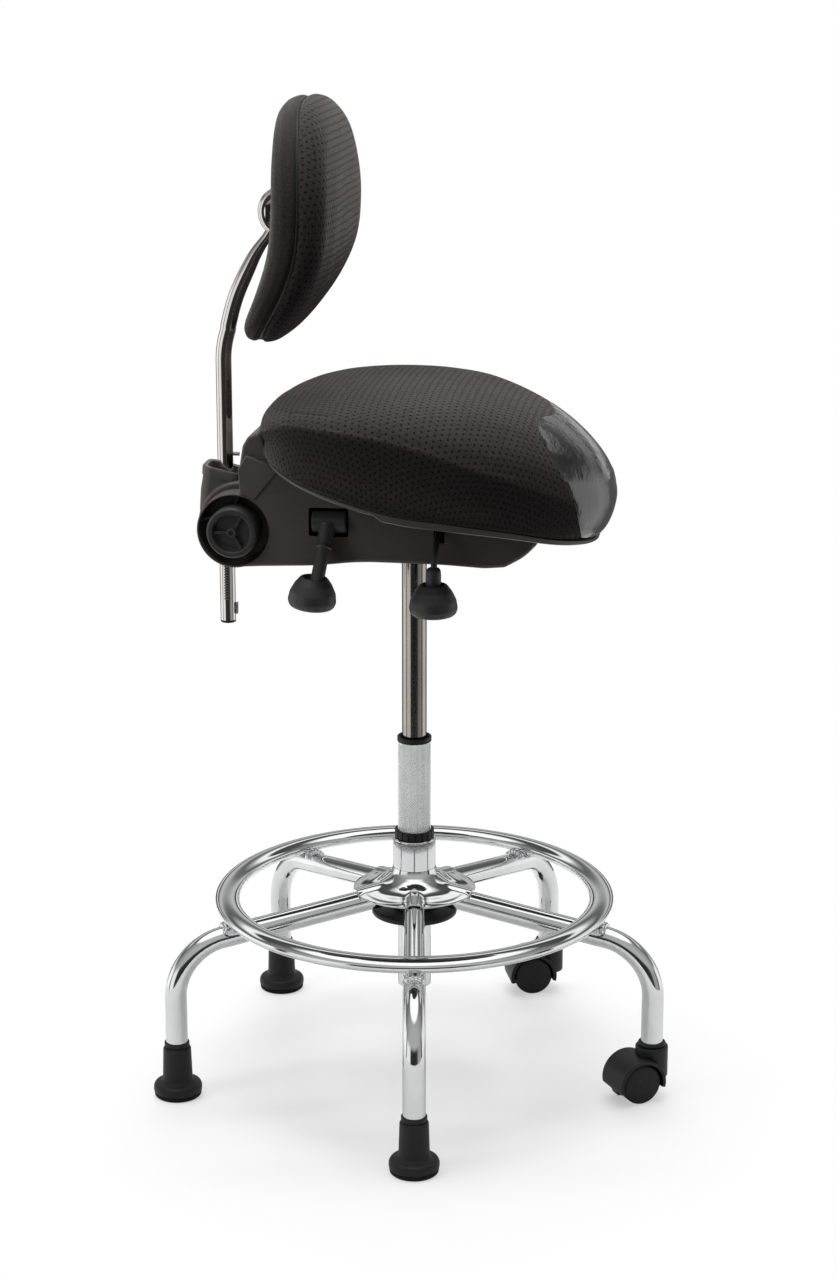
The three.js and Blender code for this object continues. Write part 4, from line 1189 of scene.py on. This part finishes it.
def make_clamp():
    clamp_x, clamp_z = CLAMP
    hub = rounded([[0, -25], [45, -25], [48, -22], [48, 22], [45, 25], [0, 25]], [0, 3, 3, 3, 3, 0], 4)
    bracket = add_object("bracket", across(turned(hub, 128), clamp_x, 0, clamp_z))
    carve(bracket, [skin([collar_ring(*row) for row in collar_rings])], "UNION")
    carve(bracket, [
        moved(cylinder(POST_RADIUS + 0.5, 560, 700, 64), (POST, 0, 0)),
        across(cylinder(SPINDLE_HOLE, -50, 50, 32), clamp_x, 0, clamp_z),
    ])
    add_piece("back_clamp", bracket, "back_carrier", "housing_plastic", "back_bracket", angle=32)

    knob = rounded([[0, -72], [2.4, -72], [2.4, -74.2], [5.4, -74.2], [5.4, -68], [19.8, -67.5],
                    [21.2, -74.6], [22.4, -75.5], [26.6, -75.5], [28.4, -72.2], [28.4, -45.5],
                    [26.4, -39.8], [21, -37.5], [0, -37.5]],
                   [0, 0.2, 0.4, 0.9, 1.0, 1.6, 0.8, 0.8, 2.2, 2.6, 8, 4, 2, 0], 5)
    wheel = add_object("knob", across(turned(knob, 112), clamp_x, 0, clamp_z))
    spoke = prism(rounded([[4.2, -1.7], [20.8, -1.5], [20.8, 1.5], [4.2, 1.7]], 0.8, 4, closed=True),
                  -72.4, -67, 0.4, 2)
    spokes = [moved(moved(spoke, turn=-angle, about="Y"), (clamp_x, 0, clamp_z)) for angle in (60, 180, 300)]
    carve(wheel, spokes, "UNION")
    add_piece("clamp_handwheel", wheel, "clamp", "lit_black_plastic", "clamp_knob", angle=40)


def post_line(low):
    """The middle of the post: straight, bent forward, leaning, and drawn over into its hook."""
    straight = [[POST, 0, z] for z in np.linspace(low, BEND_START, 50)[:-1]]
    arc = [[POST + POST_BEND * (1 - math.cos(a)), 0, BEND_START + POST_BEND * math.sin(a)]
           for a in np.linspace(0, POST_LEAN, 16)]
    reach = (KNUCKLE[1] - 12 - arc[-1][2]) / math.cos(POST_LEAN)
    leaning = [[arc[-1][0] + math.sin(POST_LEAN) * s, 0, arc[-1][2] + math.cos(POST_LEAN) * s]
               for s in np.linspace(0, reach, 30)[1:]]
    set_over = smooth_line([(852, 0), (901, -3), (930, 0.5), (944, 3), (955, 6.5), (966, 11)])
    drawn = [[x + set_over(z), y, z] for x, y, z in leaning if z < 966]
    return straight + arc + drawn + [[-157.5, 0, 971], [-153, 0, 978]]


def make_post():
    low = cad_box("back_tube")[0][2]
    line = post_line(low)
    drawn_in = smooth_line([(900, POST_RADIUS), (925, 8.3), (945, 7), (960, 5.6), (980, 5.4)])
    tube = add_object("post", swept(line, [float(drawn_in(z)) for _, _, z in line], 64))
    eye = rounded([[0, -8], [11.3, -8], [17.9, -2.5], [17.9, 2.5], [11.3, 8], [0, 8]], [0, 2, 2, 2, 2, 0], 5)
    carve(tube, [across(turned(eye, 64), KNUCKLE[0], 0, KNUCKLE[1])], "UNION")
    height_marks = [prism(rectangle((POST - 2.6, z), (POST + 4.4, z + 1.3)), -POST_RADIUS - 2,
                          -POST_RADIUS + 0.9) for z in np.arange(556, 612, 3.1)]
    carve(tube, [*height_marks, moved(cylinder(POST_BORE, low - 5, 800, 40), (POST, 0, 0)),
                 across(cylinder(6.4, -20, 20, 40), KNUCKLE[0], 0, KNUCKLE[1])])
    hook = [[KNUCKLE[0] - 0.5 + 15.2 * math.cos(a), 0, KNUCKLE[1] + 19.5 * math.sin(a)]
            for a in np.radians(np.linspace(72, 268, 48))]
    hook_end = [4.2, 5.2, 5.8]
    join_in(tube, add_object("hook", swept(hook, hook_end + [6.1] * 42 + hook_end[::-1], 40)))
    add_piece("back_post_tube", tube, "back_post", "post_chrome", "back_tube", angle=34)
    cap_low, cap_high = cad_box("tube_end_cap")
    edge, plug_radius = low - 0.1, POST_BORE - 0.6
    cap = rounded([[0, cap_low[2]], [POST_RADIUS - 0.8, cap_low[2]], [POST_RADIUS, cap_low[2] + 1.2],
                   [POST_RADIUS, edge], [plug_radius, edge], [plug_radius, cap_high[2]], [0, cap_high[2]]],
                  [0, 1.2, 0.6, 0.3, 0.2, 1, 0], 4)
    add_piece("post_end_plug", moved(turned(cap, 64), (POST, 0, 0)), "back_post", "black_plastic",
              "tube_end_cap")


# x of the seam between pad and shell, over its height
spine = smooth_line([(850, -168), (880, -146), (910, -127), (950, -110), (1000, -104), (1050, -106),
                     (1090, -111), (1117, -118)])
BACK_LOW, BACK_HIGH = cad_box("back_pad")
BACK_MIDDLE = (BACK_LOW[2] + BACK_HIGH[2]) / 2
BACK_HALF_HEIGHT, BACK_HALF_WIDTH = (BACK_HIGH[2] - BACK_LOW[2]) / 2, BACK_HIGH[1]


def back_rings(profile, around=224):
    """Rounded oval rings, one for each [reach from the middle, distance ahead of the seam] pair."""
    angles = all_round(around, 0.5)
    cosine, sine = np.cos(angles), np.sin(angles)
    rings = []
    for reach, ahead in profile:
        scale = reach / BACK_HALF_HEIGHT
        y = scale * BACK_HALF_WIDTH * np.sign(cosine) * np.abs(cosine) ** 0.85
        z = BACK_MIDDLE + scale * BACK_HALF_HEIGHT * np.sign(sine) * np.abs(sine) ** 0.85
        rings.append(np.stack([spine(z) + ahead, y, z], 1))
    return np.array(rings)


def back_cloth(rings):
    return cloth_uv(rings, 4, (0, 0, 1), (0, 1, 0))


def make_backrest():
    front = evenly(rounded([[2, 32.4], [78, 31.6], [118, 27.4], [131, 18], [133, 7], [130, 1.6],
                            [123, 0.15]], [0, 200, 40, 16, 8, 3, 0], 12), 3.0)
    rings = back_rings(front)
    pad = add_piece("back_pad_cloth", skin(rings), "backrest", "fabric", "back_pad", angle=70,
                    uv=back_cloth(rings), keep_flat=False)
    rear = evenly(rounded([[2, -40], [80, -39.6], [118, -29], [129, -16], [132, -6], [129.4, -1.6],
                           [122.6, -0.15]], [0, 200, 50, 20, 8, 3, 0], 12), 3.0)
    rings = back_rings(rear)
    shell = add_object("back shell", skin(rings), back_cloth(rings))
    hanger_room = rounded(rectangle((-210, 956), (-129, 1023)), [3, 6, 6, 3], 4, closed=True)
    carve(shell, [prism(hanger_room, -14.3, 14.3, 0.5, 2)])
    cover = add_piece("back_shell_cloth", shell, "backrest", "plain_cloth", "back_shell", angle=40,
                      keep_flat=False)
    # a thin dark strip laid in the groove between pad and shell: painted shade that stands for the seam's
    # dark gap
    seam_shade = back_rings([[130.2, -1.4], [130.5, 0], [130.2, 1.4], [124.2, 0.12], [124.2, -0.12]])
    add_piece("back_seam_shade_strip", skin(seam_shade, wrap_rows=True), "backrest", "black_plastic")


# ---- CAD parts kept as they are ----------------------------------------------------------------

kept_parts = {
    "steel": ["thrust_bearing", "rod_clip", "piston_rod", "valve_pin", "tilt_pin", "clamp_spindle",
              "stop_pin", "tube_clip", "knuckle_pin", "castor_stem_right", "castor_stem_back_right",
              "castor_axle_right", "castor_axle_back_right"],
    "black_steel": ["column_head", "tilt_frame", "back_hanger"],
    "black_plastic": ["column_end_plug"],
}


def finish_kept_parts():
    for slot, names in kept_parts.items():
        for name in names:
            part = bpy.data.objects[name]
            part.data.materials.clear()
            part.data.materials.append(material(slot))
            weld = part.modifiers.new("joined facets", "WELD")
            weld.merge_threshold = 1e-6
            bevel = part.modifiers.new("broken edges", "BEVEL")
            bevel.width, bevel.segments, bevel.limit_method = 0.3 * MM, 2, "ANGLE"
            bevel.angle_limit = math.radians(40)


# ---- the whole stool ---------------------------------------------------------------------------

make_legs()
make_foot_ring()
make_hub()
make_column()
make_glides()
for castor_name in ("right", "back_right"):
    make_castor(castor_name)
make_seat()
make_housing()
make_levers()
make_clamp()
make_post()
make_backrest()
finish_kept_parts()


# ---- studio ------------------------------------------------------------------------------------

scene = bpy.context.scene
scene.view_settings.view_transform = "Standard"
CAMERA_TURN = math.radians(8)

camera_data = bpy.data.cameras.new("camera")
camera_data.lens = 76.15
camera_data.sensor_width = 36.0
camera = bpy.data.objects.new("camera", camera_data)
camera.location = (0.4056, -2.8942, 1.3150)
camera.rotation_euler = (math.radians(74.766), 0, CAMERA_TURN)
scene.collection.objects.link(camera)
scene.camera = camera


def make_floor():
    """A pale sheet of paper, dimmer in the chrome than to the eye, as on a lit table."""
    half, near = 4.5, -3.4
    mesh = bpy.data.meshes.new("floor")
    mesh.from_pydata([(x, y, 0) for x, y in rectangle((-half, near), (half, half))], [], [(0, 1, 2, 3)])
    floor = bpy.data.objects.new("floor", mesh)
    floor.rotation_euler.z = CAMERA_TURN
    scene.collection.objects.link(floor)
    made, n, shader = new_material("paper")
    where = n.add("ShaderNodeTexCoord").outputs["Object"]
    ray = n.add("ShaderNodeLightPath")
    fibre = n.noise(where, 60.0, 4.0, 0.6)
    shown = n.mix(ray.outputs["Is Glossy Ray"], 0.46, 0.37)
    shown = n.mix(ray.outputs["Is Diffuse Ray"], shown, 0.13)
    n.feed(shader, {
        "Base Color": n.mix(n.math("MULTIPLY", fibre, 0.04), shown, 0.8),
        "Roughness": n.math("MULTIPLY_ADD", fibre, 0.1, 0.8),
        "Normal": n.bump(fibre, 0.02, 0.0005),
    })
    away = n.add("ShaderNodeVectorMath", {0: where}, operation="LENGTH").outputs["Value"]
    glow = n.add("ShaderNodeEmission", {"Color": 1.0, "Strength": 1.0})
    fade = n.ramp(n.math("DIVIDE", away, 4.0), [(0.06, 0.42), (0.085, 0.66), (0.115, 0.9), (0.3, 1.0)])
    far = n.math("MULTIPLY", fade, ray.outputs["Is Camera Ray"])
    paper = n.add("ShaderNodeMixShader", {0: far, 1: shader, 2: glow})
    clear = n.add("ShaderNodeBsdfTransparent")
    unseen = n.math("MULTIPLY", n.math("GREATER_THAN", away, 1.0), ray.outputs["Is Glossy Ray"])
    mixed = n.add("ShaderNodeMixShader", {0: unseen, 1: paper, 2: clear})
    n.put(made.node_tree.nodes["Material Output"].inputs["Surface"], mixed)
    mesh.materials.append(made)


def area_light(name, place, target, size, power):
    """A soft light that neither the camera nor glossy things see."""
    data = bpy.data.lights.new(name, "AREA")
    data.shape = "RECTANGLE"
    data.size, data.size_y = size
    data.energy = power
    light = bpy.data.objects.new(name, data)
    light.location = place
    light.rotation_euler = (Vector(target) - Vector(place)).to_track_quat("-Z", "Y").to_euler()
    light.visible_glossy = False
    light.visible_camera = False
    scene.collection.objects.link(light)


# how bright the panels stand round the stool, over degrees about the camera's line of sight
PANEL_STOPS = [(-180, 0.28), (-160, 0.12), (-135, 0.2), (-115, 1.2), (-85, 1.2), (-81, 0.05),
               (-76, 0.05), (-72, 1.0), (-39, 1.0), (-34, 0.05), (-8, 0.03), (12, 0.03), (30, 0.06),
               (37, 0.30), (68, 0.42), (73, 0.05), (80, 0.05), (85, 1.0), (118, 1.0), (138, 0.2),
               (160, 0.12), (180, 0.28)]
# how bright they are over the z of a direction: away from the camera, and low down behind the stool
BEYOND = [(0.3, 0.5), (0.38, 0.12), (0.46, 0.1), (0.54, 0.5), (0.58, 1.1), (0.63, 1.1), (0.66, 0.06),
          (0.8, 0.1)]
SKYLINE = [(0.0, 0.12), (0.05, 0.9), (0.12, 0.7), (0.14, 0.06), (0.19, 0.06), (0.22, 0.5), (0.3, 0.6),
           (0.4, 0.2)]


def make_world():
    """White surroundings to look at; bright and dark panels for glossy things to reflect."""
    world = bpy.data.worlds.new("studio")
    world.use_nodes = True
    scene.world = world
    n = Nodes(world.node_tree)
    background = world.node_tree.nodes["Background"]
    ray = n.add("ShaderNodeLightPath")
    way = n.add("ShaderNodeTexCoord").outputs["Generated"]
    split = n.add("ShaderNodeSeparateXYZ", {"Vector": way})
    x, y, z = split.outputs
    round_z = n.math("DIVIDE", n.math("ARCTAN2", x, n.math("MULTIPLY", y, -1.0)), 2 * math.pi)
    share = n.math("FRACT", n.math("ADD", round_z, 0.5 - CAMERA_TURN / (2 * math.pi)))
    bands = n.ramp(share, [((angle + 180) / 360, value) for angle, value in PANEL_STOPS])
    towards = n.math("SUBTRACT", n.math("MULTIPLY", x, math.sin(CAMERA_TURN)),
                     n.math("MULTIPLY", y, math.cos(CAMERA_TURN)))
    from_it = n.math("MULTIPLY", towards, -1.0)
    upper = n.ramp(n.math("MULTIPLY_ADD", towards, 0.5, 0.5),
                   [(0.2, 0.07), (0.45, 0.2), (0.6, 0.35), (0.85, 0.5)])
    high_up = n.mix(n.ramp(from_it, [(0.25, 0.0), (0.35, 1.0)]), upper, n.ramp(z, BEYOND))
    lower = n.mix(n.ramp(z, [(0.16, 0.0), (0.3, 1.0)]), bands, high_up)
    rear = n.math("MULTIPLY", n.ramp(from_it, [(0.6, 0.0), (0.8, 1.0)]),
                  n.ramp(z, [(0.0, 0.0), (0.03, 1.0), (0.4, 1.0), (0.5, 0.0)]))
    lower = n.mix(rear, lower, n.ramp(z, SKYLINE))
    panels = n.mix(n.ramp(z, [(0.80, 0.0), (0.86, 1.0)]), lower, 1.3)
    ambient = n.ramp(z, [(0.0, 0.12), (0.45, 0.2), (0.8, 0.9)])
    unseen = n.mix(ray.outputs["Is Glossy Ray"], ambient, panels)
    n.feed(background, {"Color": n.mix(ray.outputs["Is Camera Ray"], unseen, 1.0), "Strength": 1.0})


make_floor()
make_world()
area_light("overhead", (-0.1, 0.3, 2.9), (0, 0, 0.4), (2.6, 2.0), 150)
area_light("behind", (-0.5, 2.6, 2.3), (0, 0, 0.8), (2.2, 0.5), 60)
area_light("left front", (-2.4, -1.6, 2.0), (0, 0, 0.6), (0.9, 1.5), 34)
